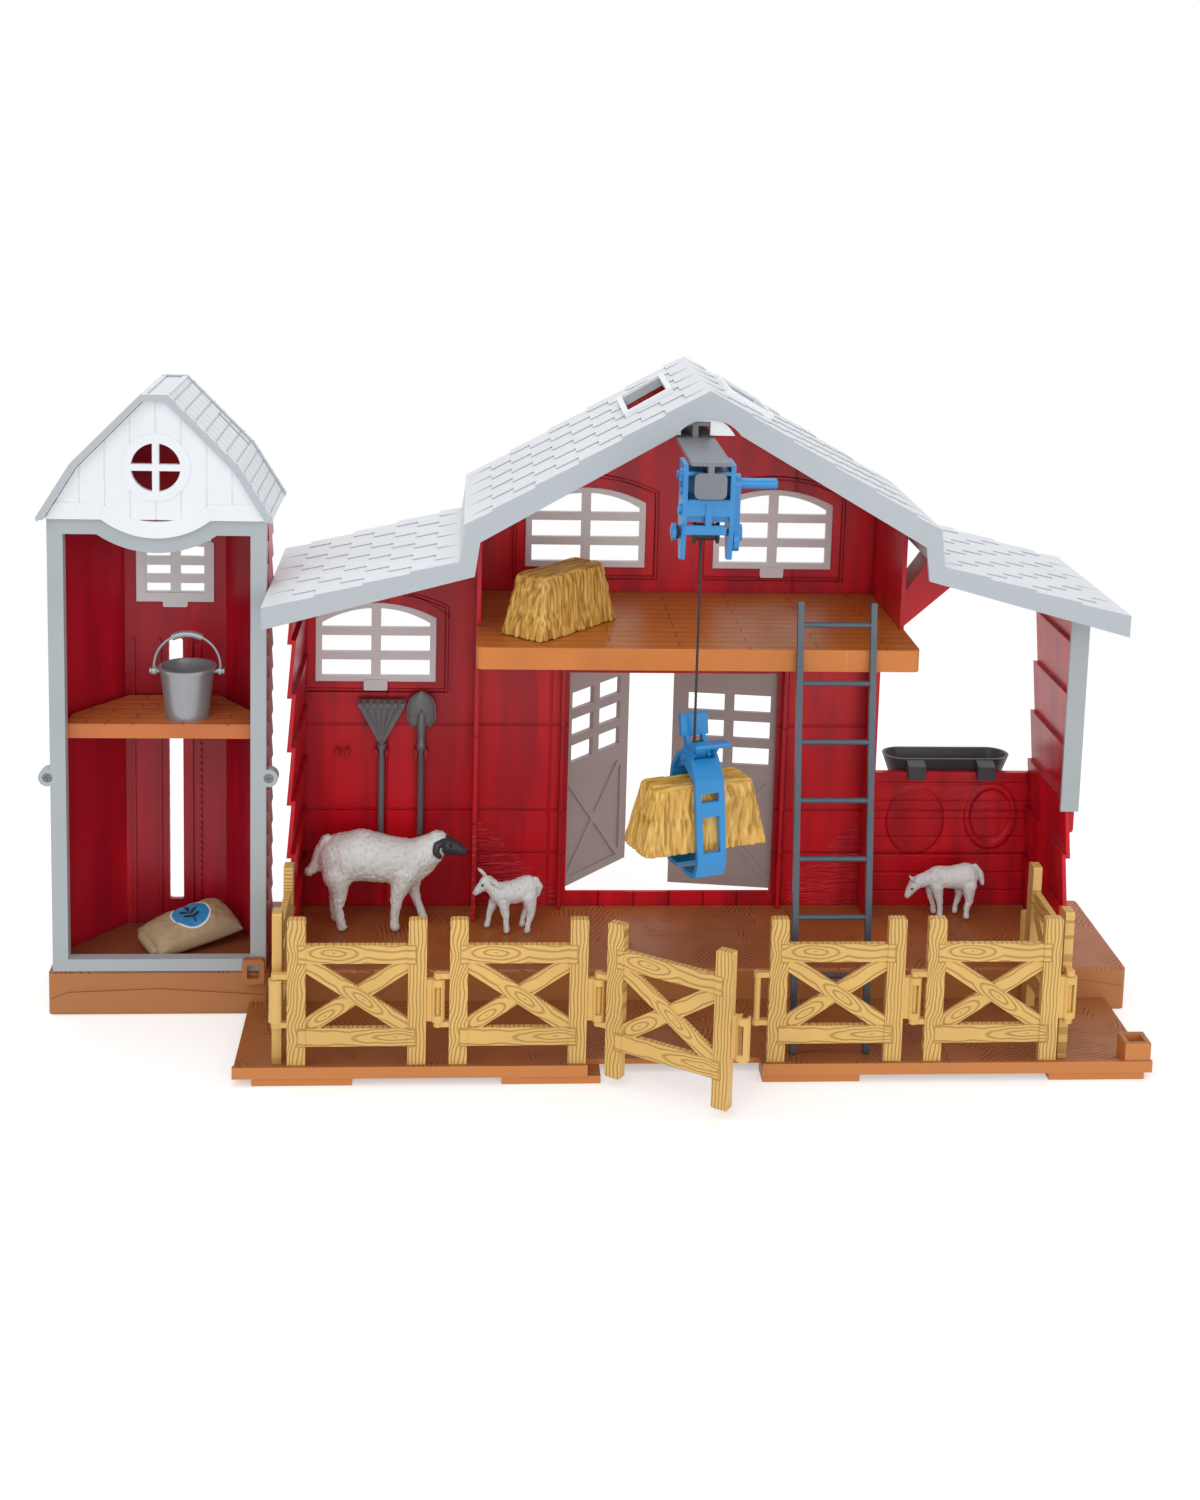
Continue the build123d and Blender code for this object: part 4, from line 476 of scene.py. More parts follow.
def hay():
    """Golden straw, with painted shade deep between the stalks and painted highlights on their ridges."""
    m = Mat("hay_plastic", srgb(208, 160, 70), 0.45, 0.08, 60)
    depth = m.carved_depth()
    # painted shade: darker deep between the stalks
    m.tint(depth.ramp(0.45, 0.95) * 0.75, srgb(150, 104, 34))
    # painted highlight: paler on the stalks' ridges
    m.tint((1.0 - depth.ramp(0.05, 0.35)) * 0.55, srgb(238, 200, 122))
    m.relief(m.streaks(2, (900.0, 900.0, 90.0)), 0.0004)
    return m.done()


def wool(name, colour, strength):
    """Pale fleece, with painted shade between its curls and in its narrow corners."""
    m = Mat(name, colour, 0.6, 0.04, 60)
    # painted shade: darker deep between the curls
    m.tint(m.carved_depth().ramp(0.45, 1.0) * strength, srgb(184, 182, 174))
    # painted shade in narrow corners
    m.paint_crevice_shade(0.003, 0.5, srgb(120, 118, 112))
    m.relief(m.noise(700.0, 3, distortion=1.5), 0.0005)
    return m.done()


# the sack's middle in the tower and its turn, and the label on it
SACK_X, SACK_Y, SACK_TURN = -0.2328, 0.026, math.radians(32.0)
LABEL_RADIUS, LABEL_INNER = 0.0114, 0.0104
LEAVES = (      # lean from the stem, height on it and length
    (0.0, 0.0026, 0.0052), (0.95, 0.0004, 0.0046), (-0.95, 0.0004, 0.0046),
    (1.0, -0.0036, 0.0040), (-1.0, -0.0036, 0.0040),
)


def leaf(u, v, lean, height, length):
    """An oval leaf that leans out from the stem."""
    off = length * 0.75
    middle_u, middle_v = math.sin(lean) * off, height + math.cos(lean) * off * 0.9
    along, across = turned(v - middle_v, u - middle_u, lean)
    oval_level = (abs(along) / (length * 0.72)) ** 2.0 + (abs(across) / (length * 0.26)) ** 2.0
    return 1.0 - oval_level.ramp(0.85, 1.05)


def burlap():
    """Burlap-coloured vinyl with a round blue label on its upper face: a ring and a plain sprig."""
    m = Mat("burlap", srgb(176, 156, 122), 0.6, 0.08, 60)
    x, y, _ = m.axes()
    u, v = turned(x - SACK_X, y - SACK_Y, SACK_TURN)
    m.relief((u * 700.0).zigzag() * (v * 700.0).zigzag(), 0.0005)
    m.tint(m.noise(90.0, 3).ramp(0.55, 0.75) * 0.4, srgb(120, 100, 70))
    radius = distance(u, v)
    top = m.facing(2) > 0.35
    m.tint((1.0 - radius.ramp(LABEL_RADIUS, LABEL_RADIUS + 0.0003)) * top, srgb(238, 240, 240))
    inner = (1.0 - radius.ramp(LABEL_INNER, LABEL_INNER + 0.0003)) * top
    m.tint(inner, srgb(38, 146, 208))
    stem = (abs(u) < 0.0004) * inside(v, -0.0082, 0.004)
    sprig = highest([leaf(u, v, *row) for row in LEAVES] + [stem])
    m.tint(sprig * inner, srgb(34, 38, 44))
    return m.done()


def braided_cord():
    m = Mat("braided_cord", srgb(40, 40, 42), 0.8, 0.1, 200)
    x, _, z = m.axes()
    strand = (z * 620.0 + x * 700.0).zigzag()
    m.relief(strand, 0.0006)
    m.tint(strand.ramp(0.25, 0.5) * 0.6, srgb(96, 96, 100))
    return m.done()


red = wall_red("wall_red").done()
pane = plain("window_plastic", srgb(226, 224, 226), drift=0.03)
white = plain("white_plastic", srgb(236, 240, 244), drift=0.02)
frame_grey = plain("frame_plastic", srgb(172, 180, 183), 0.42, drift=0.03)
taupe = plain("taupe_plastic", srgb(170, 158, 155), 0.42, drift=0.03)
blue = plain("blue_plastic", srgb(22, 132, 198), 0.32, coat=0.25, drift=0.05)
tool_grey = painted("tool_plastic", srgb(112, 112, 115), 0.36)
bucket_grey = painted("bucket_plastic", srgb(156, 158, 162), 0.30, 0.45)
# the bases' side faces, painted lighter than their tops as painted light and shade
base_side_painted_lighter = srgb(180, 118, 66)
brown = earth("base_plastic", srgb(176, 106, 56), base_side_painted_lighter)
straw = hay()
sheep_wool = wool("wool", srgb(240, 247, 245), 0.5)
lamb_wool = wool("lamb_wool", srgb(242, 252, 254), 0.3)
black_face = plain("black_face", srgb(58, 60, 66), 0.45)
eye_black = plain("eye_black", srgb(22, 22, 24), 0.2)
vinyl = burlap()
cord_black = braided_cord()

looks = (
    (red, "barn_left_wall barn_right_wall loft_left_wall loft_right_wall wing_brace"),
    (wall_back(), "barn_back_wall"),
    # the tower's red is a darker copy of the wall red: painted shade for the tower's inside
    (wall_red("wall_tower_painted_shade", streak=0.34, base=srgb(170, 20, 38)).done(), "tower_shell"),
    (brown, "barn_base"),
    (earth("tower_base_plastic", srgb(142, 80, 50), base_side_painted_lighter), "tower_base"),
    # the yard's sides are painted lighter than its top: painted light and shade
    (earth("yard_plastic", srgb(162, 98, 50), srgb(206, 130, 68)), "yard_plate"),
    (frame_grey, "corner_trim tower_front_frame"),
    (planked("loft_plastic", srgb(202, 118, 46), 0.075, 0.0098), "loft_floor"),
    (planked("lift_plastic", srgb(200, 112, 56), 0.052, 0.0088), "tower_lift_floor"),
    (roof_plastic("roof_plastic"), "barn_roof"),
    (roof_plastic("tower_roof_plastic", (0.0115, 0.0056)), "tower_roof"),
    (pane, "window_bay window_loft_left window_loft_right tower_window"),
    (white, "tower_gable hoist_bracket"),
    (plain("screw_steel", srgb(120, 122, 126), 0.35, 1.0), "tower_screws"),
    (plain("rail_plastic", srgb(116, 118, 126)), "hoist_rail"),
    (plain("ladder_plastic", srgb(68, 82, 94), 0.36), "ladder"),
    (plain("charcoal_plastic", srgb(62, 63, 68), 0.45), "trough"),
    (plain("drum_plastic", srgb(26, 26, 28), 0.5), "winch_drum"),
    (tool_grey, "rake shovel"),
    (bucket_grey, "bucket bucket_bail"),
    (taupe, "door_left door_right"),
    (blue, "trolley winch_crank claw_hub claw_jaw_front claw_jaw_back"),
    (straw, "loft_bale claw_bale"),
    (vinyl, "feed_sack"),
    (sheep_wool, "sheep"),
    (lamb_wool, "lamb_left lamb_right"),
    (cord_black, "hoist_cord"),
)
look = {name: material for material, names in looks for name in names.split()}
panels = {      # the start of each fence panel and the way it runs, in degrees
    "fence_panel_1": (-0.173, -0.090, 0), "fence_panel_2": (-0.089, -0.090, 0),
    "gate_panel": (-0.005, -0.090, -33), "fence_panel_4": (0.079, -0.090, 0),
    "fence_panel_5": (0.163, -0.090, 0), "fence_side_left": (-0.173, -0.006, -90),
    "fence_side_right": (0.247, -0.090, 90),
}
for name, (start_x, start_y, angle) in panels.items():
    look[name] = fence("grain_" + name, (start_x, start_y), angle)
for name, obj in nodes.items():
    obj.data.materials.clear()
    obj.data.materials.append(look[name])


# ------------------------------------------------------------------ making pieces
def linked(name, mesh):
    """A new object for a mesh, linked to the scene."""
    obj = bpy.data.objects.new(name, mesh)
    bpy.context.collection.objects.link(obj)
    return obj


def object_from(name, bm):
    mesh = bpy.data.meshes.new(name)
    bm.to_mesh(mesh)
    bm.free()
    return linked(name, mesh)


def piece(obj, mat, body, node=None, smooth=True):
    """Give a new piece its material and its body, and hide the CAD node that it stands for, if any."""
    obj.data.materials.clear()
    obj.data.materials.append(mat)
    for polygon in obj.data.polygons:
        polygon.use_smooth = smooth
    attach(obj, body)
    if node:
        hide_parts(node)


def trim(name, bm, mat, body):
    """A flat-shaded piece that is added to the CAD nodes and replaces none."""
    bmesh.ops.recalc_face_normals(bm, faces=bm.faces)
    piece(object_from(name, bm), mat, body, smooth=False)


def remeshed(obj, voxel, passes):
    """The object voxel-remeshed and smoothed, as a new object of the same name."""
    voxels = obj.modifiers.new("voxels", "REMESH")
    voxels.mode = "VOXEL"
    voxels.voxel_size = voxel
    soft = obj.modifiers.new("soft", "SMOOTH")
    soft.factor = 0.5
    soft.iterations = passes
    bpy.context.view_layer.update()
    graph = bpy.context.evaluated_depsgraph_get()
    mesh = bpy.data.meshes.new_from_object(obj.evaluated_get(graph))
    name = obj.name
    bpy.data.objects.remove(obj)
    return linked(name, mesh)


def around(count):
    """The angles of a full turn in equal steps."""
    return [2 * math.pi * k / count for k in range(count)]


def skin(bm, rings):
    """Faces between rings of points, closed at both ends."""
    for one, two in zip(rings, rings[1:]):
        for k in range(len(one)):
            after = (k + 1) % len(one)
            bm.faces.new((one[k], one[after], two[after], two[k]))
    bm.faces.new(rings[0][::-1])
    bm.faces.new(rings[-1])


def rod_into(bm, start, end, r_start, r_end, segments):
    """A tapered rod between two points, in metres."""
    axis = end - start
    place = Matrix.Translation((start + end) / 2) @ axis.to_track_quat("Z", "Y").to_matrix().to_4x4()
    bmesh.ops.create_cone(bm, cap_ends=True, segments=segments, radius1=r_start, radius2=r_end,
                          depth=axis.length, matrix=place)


def box_into(bm, low, high):
    """A box between two corners in millimetres, with a small bevel."""
    size = (Vector(high) - Vector(low)) / 1000
    middle = (Vector(high) + Vector(low)) / 2000
    place = Matrix.Translation(middle) @ Matrix.Diagonal((*size, 1))
    made = bmesh.ops.create_cube(bm, size=1.0, matrix=place)
    edges = list({edge for vert in made["verts"] for edge in vert.link_edges})
    bmesh.ops.bevel(bm, geom=edges, offset=0.0004, segments=2, affect="EDGES")


def disc_into(bm, x0, x1, y, z, radius):
    """A turned boss along X, in millimetres."""
    middle = Matrix.Translation(((x0 + x1) / 2000, y / 1000, z / 1000))
    bmesh.ops.create_cone(bm, cap_ends=True, segments=28, radius1=radius / 1000, radius2=radius / 1000,
                          depth=(x1 - x0) / 1000, matrix=middle @ Matrix.Rotation(math.radians(90), 4, "Y"))


def rounded(half_a, half_b, radius):
    """The outline of a rectangle with rounded corners."""
    steps = 5
    line = []
    for side_a, side_b, start in ((1, 1, 0), (-1, 1, 90), (-1, -1, 180), (1, -1, 270)):
        for k in range(steps + 1):
            angle = math.radians(start + 90 * k / steps)
            line.append((side_a * (half_a - radius) + radius * math.cos(angle),
                         side_b * (half_b - radius) + radius * math.sin(angle)))
    return line


def ring_prism(bm, outer, inner, place, depth):
    """A flat frame between two outlines with the same number of corners, extruded."""
    layers = [[bm.verts.new(place @ Vector((a, b, level))) for a, b in line]
              for level in (0.0, depth) for line in (outer, inner)]
    outer_low, inner_low, outer_high, inner_high = layers
    strips = ((outer_low, outer_high), (inner_high, inner_low),
              (outer_high, inner_high), (inner_low, outer_low))
    for k in range(len(outer)):
        after = (k + 1) % len(outer)
        for one, two in strips:
            bm.faces.new((one[k], one[after], two[after], two[k]))


def bead_shape(name, chains, squeeze=1.0):
    """Union of tapered capsules; each chain is a list of (x, y, z, radius) in millimetres."""
    waist = 0.985 / 1000    # a rod is a little thinner than the beads at its ends
    bm = bmesh.new()
    for chain in chains:
        for x, y, z, r in chain:
            place = Matrix.Translation((x / 1000, y / 1000, z / 1000)) @ Matrix.Diagonal((1, squeeze, 1, 1))
            bmesh.ops.create_icosphere(bm, subdivisions=3, radius=r / 1000, matrix=place)
        for (*start, r_start), (*end, r_end) in zip(chain, chain[1:]):
            rod_into(bm, Vector(start) / 1000, Vector(end) / 1000, r_start * waist, r_end * waist, 20)
    return object_from(name, bm)


def carve(obj, depth_of, reach):
    """Push each point in along its normal by depth_of(point, normal) * reach, and keep the depth."""
    mesh = obj.data
    depths = [depth_of(vertex.co, vertex.normal) for vertex in mesh.vertices]
    moved = [vertex.co - vertex.normal * depth * reach for vertex, depth in zip(mesh.vertices, depths)]
    for vertex, co in zip(mesh.vertices, moved):
        vertex.co = co
    mesh.attributes.new(CARVED, "FLOAT", "POINT").data.foreach_set("value", depths)
    mesh.update()


# ------------------------------------------------------------------ animals
def curl(co, normal):
    """Soft wool curls."""
    p = co * 1000
    broad = noise.noise(Vector((p.x * 0.7, p.y * 0.7, p.z * 0.34)))
    fine = noise.noise(Vector((p.x * 1.3 + 9, p.y * 1.3, p.z * 0.8)))
    return min(1.0, max(0.0, 0.5 + 0.55 * broad + 0.45 * fine))


# chains of beads, each bead its x, y, z and radius in millimetres
SHEEP_WOOL = (
    ((-148, 48, 68.5, 15.0), (-137, 48, 70.2, 15.6), (-122, 48, 67.5, 14.4), (-108, 48, 67.0, 12.8),
     (-98, 48, 72.5, 10.2), (-92.5, 48, 78.0, 7.6)),
    ((-110, 48, 60, 10.5), (-100, 48, 66, 8.0)),
    ((-150, 42, 60, 9.4), (-149, 41, 49, 5.0), (-149.6, 41, 40, 3.3), (-148, 41, 31, 3.2),
     (-147.2, 41, 28.6, 3.4)),
    ((-151, 54, 60, 8.4), (-153, 55, 46, 3.9), (-153.5, 55, 38, 2.9), (-152, 55, 28.4, 3.2)),
    ((-111, 42, 62, 8.6), (-115.4, 41, 47, 4.6), (-116.4, 41, 38, 3.2), (-117, 41, 31, 3.1),
     (-116.6, 41, 28.6, 3.4)),
    ((-107, 54, 60, 7.4), (-106.4, 55, 46, 4.0), (-103.4, 55, 37.5, 3.0), (-101.2, 55, 31, 2.9),
     (-100.2, 55, 28.4, 3.1)),
    ((-157.0, 48, 79, 4.2), (-161.6, 48, 70.5, 4.0), (-163.2, 48, 63.5, 4.2), (-167.2, 48, 60, 3.4)),
)
SHEEP_FACE = (
    ((-89.6, 48, 77.2, 6.0), (-84.5, 48, 75.4, 5.2), (-78.2, 48, 72.6, 3.3)),
    ((-89.0, 43.4, 80.2, 1.9), (-92.4, 41.0, 78.6, 2.4), (-93.4, 40.4, 74.6, 2.2), (-91.0, 40.8, 71.8, 1.7)),
    ((-89.0, 52.6, 80.2, 1.9), (-92.4, 55.0, 78.6, 2.4), (-93.4, 55.6, 74.6, 2.2), (-91.0, 55.2, 71.8, 1.7)),
)
LAMB_LEFT = (
    ((-39.5, 43, 52.0, 7.4), (-47, 43, 49.2, 7.2), (-55, 43, 48.4, 6.8), (-59.5, 43, 52.2, 4.8),
     (-62.8, 43, 55.2, 4.5)),
    ((-63.4, 43, 55.0, 4.3), (-67.0, 43, 51.6, 3.1), (-69.4, 43, 48.8, 2.2)),
    ((-60.8, 39.6, 57.6, 1.5), (-57.4, 36.8, 56.6, 1.5), (-55.4, 35.6, 55.0, 1.0)),
    ((-64.4, 46.0, 58.6, 1.4), (-66.8, 48.6, 60.2, 1.3), (-68.2, 50.0, 61.0, 0.9)),
    ((-53.4, 39.8, 45, 4.0), (-51.6, 39.2, 35.5, 2.3), (-51.2, 39.0, 30, 1.9), (-51.2, 38.8, 27.3, 2.2)),
    ((-57.4, 46.0, 45, 3.8), (-61.0, 46.4, 35.5, 2.2), (-62.0, 46.4, 30, 1.8), (-62.6, 46.4, 27.3, 2.1)),
    ((-38.0, 39.6, 48, 5.0), (-36.6, 39.2, 38, 2.6), (-38.4, 39.0, 31, 1.9), (-38.8, 38.8, 27.3, 2.2)),
    ((-39.6, 46.6, 48, 4.6), (-38.8, 47.0, 38, 2.4), (-41.4, 47.0, 31, 1.8), (-41.8, 47.0, 27.3, 2.1)),
    ((-34.4, 43, 57.0, 2.0), (-32.0, 43, 52.5, 2.2), (-33.0, 43, 47.6, 1.6)),
)
LAMB_RIGHT = (
    ((228.0, 62, 51.6, 8.0), (219, 62, 50.4, 7.2), (210.6, 62, 50.8, 6.8), (203.6, 62, 49.4, 4.6),
     (198, 62, 47.2, 4.2)),
    ((196.6, 62, 45.8, 4.0), (193.8, 62, 41.8, 3.0), (192.4, 62, 38.6, 2.1)),
    ((196.2, 59.4, 48.6, 1.4), (193.6, 57.8, 51.4, 1.4), (192.2, 57.2, 53.2, 0.9)),
    ((198.2, 65.0, 48.4, 1.4), (201.6, 67.2, 46.8, 1.4), (203.6, 68.0, 45.2, 0.9)),
    ((209.6, 58.6, 46, 4.0), (211.8, 58.2, 36, 2.3), (212.2, 58.0, 30.5, 1.9), (212.0, 57.8, 27.3, 2.2)),
    ((206.8, 65.0, 46, 3.6), (207.6, 65.6, 37, 2.2), (209.6, 65.8, 31, 1.8), (210.0, 65.8, 27.3, 2.1)),
    ((229.4, 58.4, 47, 5.2), (229.8, 58.0, 37, 2.6), (228.2, 57.8, 31, 1.9), (228.4, 57.6, 27.3, 2.2)),
    ((226.0, 65.6, 47, 4.6), (225.2, 66.0, 37, 2.4), (223.6, 66.0, 31, 1.8), (223.4, 66.0, 27.3, 2.1)),
    ((233.6, 62, 57.4, 2.0), (237.0, 62, 52.4, 2.3), (238.4, 62, 46.8, 1.6)),
)
SHEEP_EYES = (
    ((-84.6, 43.4, 77.6, 1.1), (-84.4, 43.5, 77.5, 1.0)),
    ((-84.6, 52.6, 77.6, 1.1), (-84.4, 52.5, 77.5, 1.0)),
)
LAMB_LEFT_EYES = (
    ((-65.6, 39.4, 54.6, 0.8), (-65.5, 39.4, 54.5, 0.7)),
    ((-65.6, 46.6, 54.6, 0.8), (-65.5, 46.6, 54.5, 0.7)),
)
LAMB_RIGHT_EYES = (
    ((194.4, 58.8, 44.2, 0.8), (194.4, 58.8, 44.1, 0.7)),
    ((194.4, 65.2, 44.2, 0.8), (194.4, 65.2, 44.1, 0.7)),
)
FEET_LEVEL = 0.0251         # just above the top of the barn's base


def creature(name, chains, voxel, passes, mat, node, reach, squeeze=0.9):
    """One part of an animal: beads melted together, feet cut level, skin carved in curls."""
    shape = remeshed(bead_shape(name, chains, squeeze), voxel, passes)
    for vertex in shape.data.vertices:
        vertex.co.z = max(vertex.co.z, FEET_LEVEL)
    carve(shape, curl, reach)
    piece(shape, mat, "playset", node)


creature("sheep_fleece", SHEEP_WOOL, 0.0010, 5, sheep_wool, "sheep", 0.0010)
creature("sheep_face", SHEEP_FACE, 0.0006, 4, black_face, "sheep", 0.00005, 0.85)
creature("lamb_left_body", LAMB_LEFT, 0.0006, 4, lamb_wool, "lamb_left", 0.0006)
creature("lamb_right_body", LAMB_RIGHT, 0.0006, 4, lamb_wool, "lamb_right", 0.0006)
creature("sheep_eyes", SHEEP_EYES, 0.0003, 1, eye_black, "sheep", 0.0)
creature("lamb_left_eyes", LAMB_LEFT_EYES, 0.0003, 1, eye_black, "lamb_left", 0.0)
creature("lamb_right_eyes", LAMB_RIGHT_EYES, 0.0003, 1, eye_black, "lamb_right", 0.0)


# ------------------------------------------------------------------ hay
def stalks(seed, turn):
    """Straw that hangs down a bale's sides in bundles and lies along its top."""
    def depth(co, normal):
        u, v = (along * 1000 for along in turned(co.x, co.y, math.radians(turn)))
        z = co.z * 1000
        if normal.z > 0.75:
            broad = noise.noise(Vector((u * 0.07 + seed, v * 0.50, seed)))
            fine = noise.noise(Vector((u * 0.16, v * 1.10 + seed, 3.0)))
        else:
            bend = 2.2 * noise.noise(Vector((u * 0.05, v * 0.05, z * 0.07 + seed)))
            broad = noise.noise(Vector(((u + bend) * 0.62, (v + bend) * 0.62, z * 0.06 + seed)))
            fine = noise.noise(Vector(((u + bend) * 1.35 + seed, (v + bend) * 1.35, z * 0.10)))
        return min(1.0, max(0.0, 0.45 + 0.95 * broad + 0.45 * fine))
    return depth


def bale(name, node, body, seed, turn):
    shape = remeshed(linked(name, nodes[node].data.copy()), 0.0008, 3)
    carve(shape, stalks(seed, turn), 0.0011)
    piece(shape, straw, body, node)


bale("loft_bale_straw", "loft_bale", "playset", 1.3, 50.0)
bale("claw_bale_straw", "claw_bale", "claw", 5.7, 20.0)


# ------------------------------------------------------------------ feed sack
def sack_form():
    """Stuffed sack: crowned between a rolled front flap and a sewn, crimped back seam."""
    half_u, half_v, crown = 0.0262, 0.0158, 0.0138 * 0.72
    floor_z = 0.0252
    seam_z, roll_z = floor_z + 0.0032, floor_z + 0.0033
    count_u, count_v, roll_sides = 72, 48, 16
    c, s = math.cos(SACK_TURN), math.sin(SACK_TURN)
    bm = bmesh.new()

    def point(u, v, z):
        """A point of the sack; its far end lies propped up, so that the label faces forward."""
        back = (u * s + v * c) / 0.0273
        propped = z + 0.0105 * (0.5 + 0.5 * back)
        return bm.verts.new((SACK_X + u * c - v * s, SACK_Y + u * s + v * c, propped))

    rows = {}
    for level in (1, -1):
        for i in range(count_u + 1):
            for j in range(count_v + 1):
                a = -1 + 2 * i / count_u
                b = -1 + 2 * j / count_v
                if level == -1 and max(abs(a), abs(b)) > 0.999:
                    rows[level, i, j] = rows[1, i, j]
                    continue
                full = (1 - abs(a) ** 3.4) ** 0.55 * (1 - abs(b) ** 3.0) ** 0.55
                pinch = 1 - 0.09 * (1 - abs(b)) * abs(a) ** 2
                u = a * half_u * (1 - 0.05 * (1 - abs(b) ** 2) * abs(a) ** 6)
                v = b * half_v * (1 - 0.10 * (1 - abs(a) ** 2) * abs(b) ** 6)
                v = v * pinch if abs(a) > 0.6 else v
                crimp = 0.0008 * math.sin(j * 1.9) * max(0.0, (a - 0.86) / 0.14)
                ruck = 0.0007 * noise.noise(Vector((u * 240, v * 240, 2.0 * level)))
                if level == 1:
                    z = seam_z + crown * full + ruck + crimp + 0.0022 * max(0.0, a) * full
                else:
                    z = seam_z - 0.0030 * min(1.0, full * 1.6)
                rows[level, i, j] = point(u, v, z)
    for level in (1, -1):
        for i in range(count_u):
            for j in range(count_v):
                corners = [rows[level, m, n] for m, n in ((i, j), (i + 1, j), (i + 1, j + 1), (i, j + 1))]
                if len(set(corners)) == 4:
                    bm.faces.new(corners[::level])
    # rolled flap along the front end
    roll = []
    for j in range(count_v + 1):
        b = -0.72 + 1.44 * j / count_v
        swell = (1 - abs(b / 0.74) ** 8) ** 0.5
        ring = []
        for angle in around(roll_sides):
            u = -half_u + 0.0004 + 0.0026 * swell * math.cos(angle)
            ring.append(point(u, b * half_v, roll_z + 0.0030 * swell * math.sin(angle)))
        roll.append(ring)
    skin(bm, roll)
    bmesh.ops.recalc_face_normals(bm, faces=bm.faces)
    sack = object_from("feed_sack_soft", bm)
    piece(sack, vinyl, "playset", "feed_sack")


sack_form()


# ------------------------------------------------------------------ roof, tools and base
def skylight_rims():
    """A raised rim with a fine step inside, round each skylight."""
    ridge_x, from_ridge, middle_y = 0.048, 0.027, 0.028
    rise, run = 363.0 - 289.0, 127.0        # of the roof between ridge and step, in millimetres
    slope = math.atan2(rise, run)
    middle_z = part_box("barn_roof")[1].z - from_ridge * math.tan(slope)
    for side, name in ((-1, "skylight_rim_left"), (1, "skylight_rim_right")):
        across = Vector((math.cos(slope), 0, -side * math.sin(slope)))
        up = Vector((side * math.sin(slope), 0, math.cos(slope)))
        turn = Matrix((across, Vector((0, 1, 0)), up)).transposed().to_4x4()
        place = Matrix.Translation((ridge_x + side * from_ridge, middle_y, middle_z)) @ turn
        bm = bmesh.new()
        ring_prism(bm, rounded(0.0152, 0.0292, 0.0012), rounded(0.0121, 0.0261, 0.0008), place, 0.0034)
        trim(name, bm, white, "playset")


skylight_rims()

# the middles of both tools in their clips
TOOLS_Y = 0.0762
SHOVEL_X, RAKE_X = -0.1035, -0.127


def tool_point(bm, middle_x, a, y, z):
    """A point of a tool in millimetres: a and y from the tool's middle, z above the floor."""
    return bm.verts.new((middle_x + a / 1000, TOOLS_Y + y / 1000, z / 1000))


def shovel_form():
    """Round shovel: turned handle with a collar, a socket and a dished, pointed blade."""
    bm = bmesh.new()
    handle = ((72, 1.7), (72.6, 1.9), (124.5, 1.9), (125.2, 2.7), (128.3, 2.7),
              (129.2, 2.1), (134, 2.3), (140, 2.9), (146, 2.2), (150, 0.9))
    skin(bm, [[tool_point(bm, SHOVEL_X, r * math.cos(angle), r * math.sin(angle), z) for angle in around(24)]
              for z, r in handle])
    count_a, count_t, blade_half, blade_z, blade_length = 26, 28, 0.0087, 0.1395, 0.0213
    sheets = []
    for back in (0, 1):
        grid = []
        for j in range(count_t + 1):
            t = j / count_t
            half = blade_half * min(1.0, 0.62 + 1.5 * t) if t < 0.25 else blade_half
            if t > 0.45:
                half = blade_half * math.sqrt(max(0.02, 1 - ((t - 0.45) / 0.56) ** 2.2))
            row = []
            for i in range(count_a + 1):
                a = -1 + 2 * i / count_a
                dish = 0.0026 * a * a + 0.0014 * math.sin(math.pi * t)
                edge = 0.0006 if abs(a) > 0.88 else 0.0
                y = TOOLS_Y + 0.0006 - dish - edge * (1 - back) + 0.0013 * back
                row.append(bm.verts.new((SHOVEL_X + a * half, y, blade_z + blade_length * t)))
            grid.append(row)
        sheets.append(grid)
    for grid, way in zip(sheets, (1, -1)):
        for j in range(count_t):
            for i in range(count_a):
                face = (grid[j][i], grid[j][i + 1], grid[j + 1][i + 1], grid[j + 1][i])
                bm.faces.new(face[::way])
    front, back = sheets
    border = [(0, i) for i in range(count_a)] + [(j, count_a) for j in range(count_t)]
    border += [(count_t, i) for i in range(count_a, 0, -1)] + [(j, 0) for j in range(count_t, 0, -1)]
    for (j, i), (next_j, next_i) in zip(border, border[1:] + border[:1]):
        bm.faces.new((front[j][i], back[j][i], back[next_j][next_i], front[next_j][next_i]))
    bmesh.ops.recalc_face_normals(bm, faces=bm.faces)
    piece(object_from("shovel_form", bm), tool_grey, "playset", "shovel")


shovel_form()


def rake_web():
    """Solid fan between the rake's handle and its bar, with ribs spreading upwards."""
    bm = bmesh.new()
    fan = ((-1.8, 131.0), (1.8, 131.0), (12.6, 153.2), (-12.6, 153.2))
    skin(bm, [[tool_point(bm, RAKE_X, a, y, z) for a, z in fan] for y in (-0.8, 0.9)])
    for lean in (-9.6, -4.8, 0.0, 4.8, 9.6):
        foot = Vector((RAKE_X + lean * 0.00014, TOOLS_Y - 0.0010, 0.1325))
        tip = Vector((RAKE_X + lean / 1000, TOOLS_Y - 0.0010, 0.1530))
        rod_into(bm, foot, tip, 0.0004, 0.0007, 10)
    trim("rake_web", bm, tool_grey, "playset")


rake_web()


def base_eye():
    """Brown linking eye at the front corner between the two bases."""
    bm = bmesh.new()
    place = Matrix.Translation((-0.1927, -0.0106, 0.0262)) @ Matrix.Rotation(math.radians(90), 4, "X")
    ring_prism(bm, rounded(0.0062, 0.0072, 0.0022), rounded(0.0034, 0.0040, 0.0010), place, 0.0042)
    trim("base_eye", bm, brown, "playset")


base_eye()


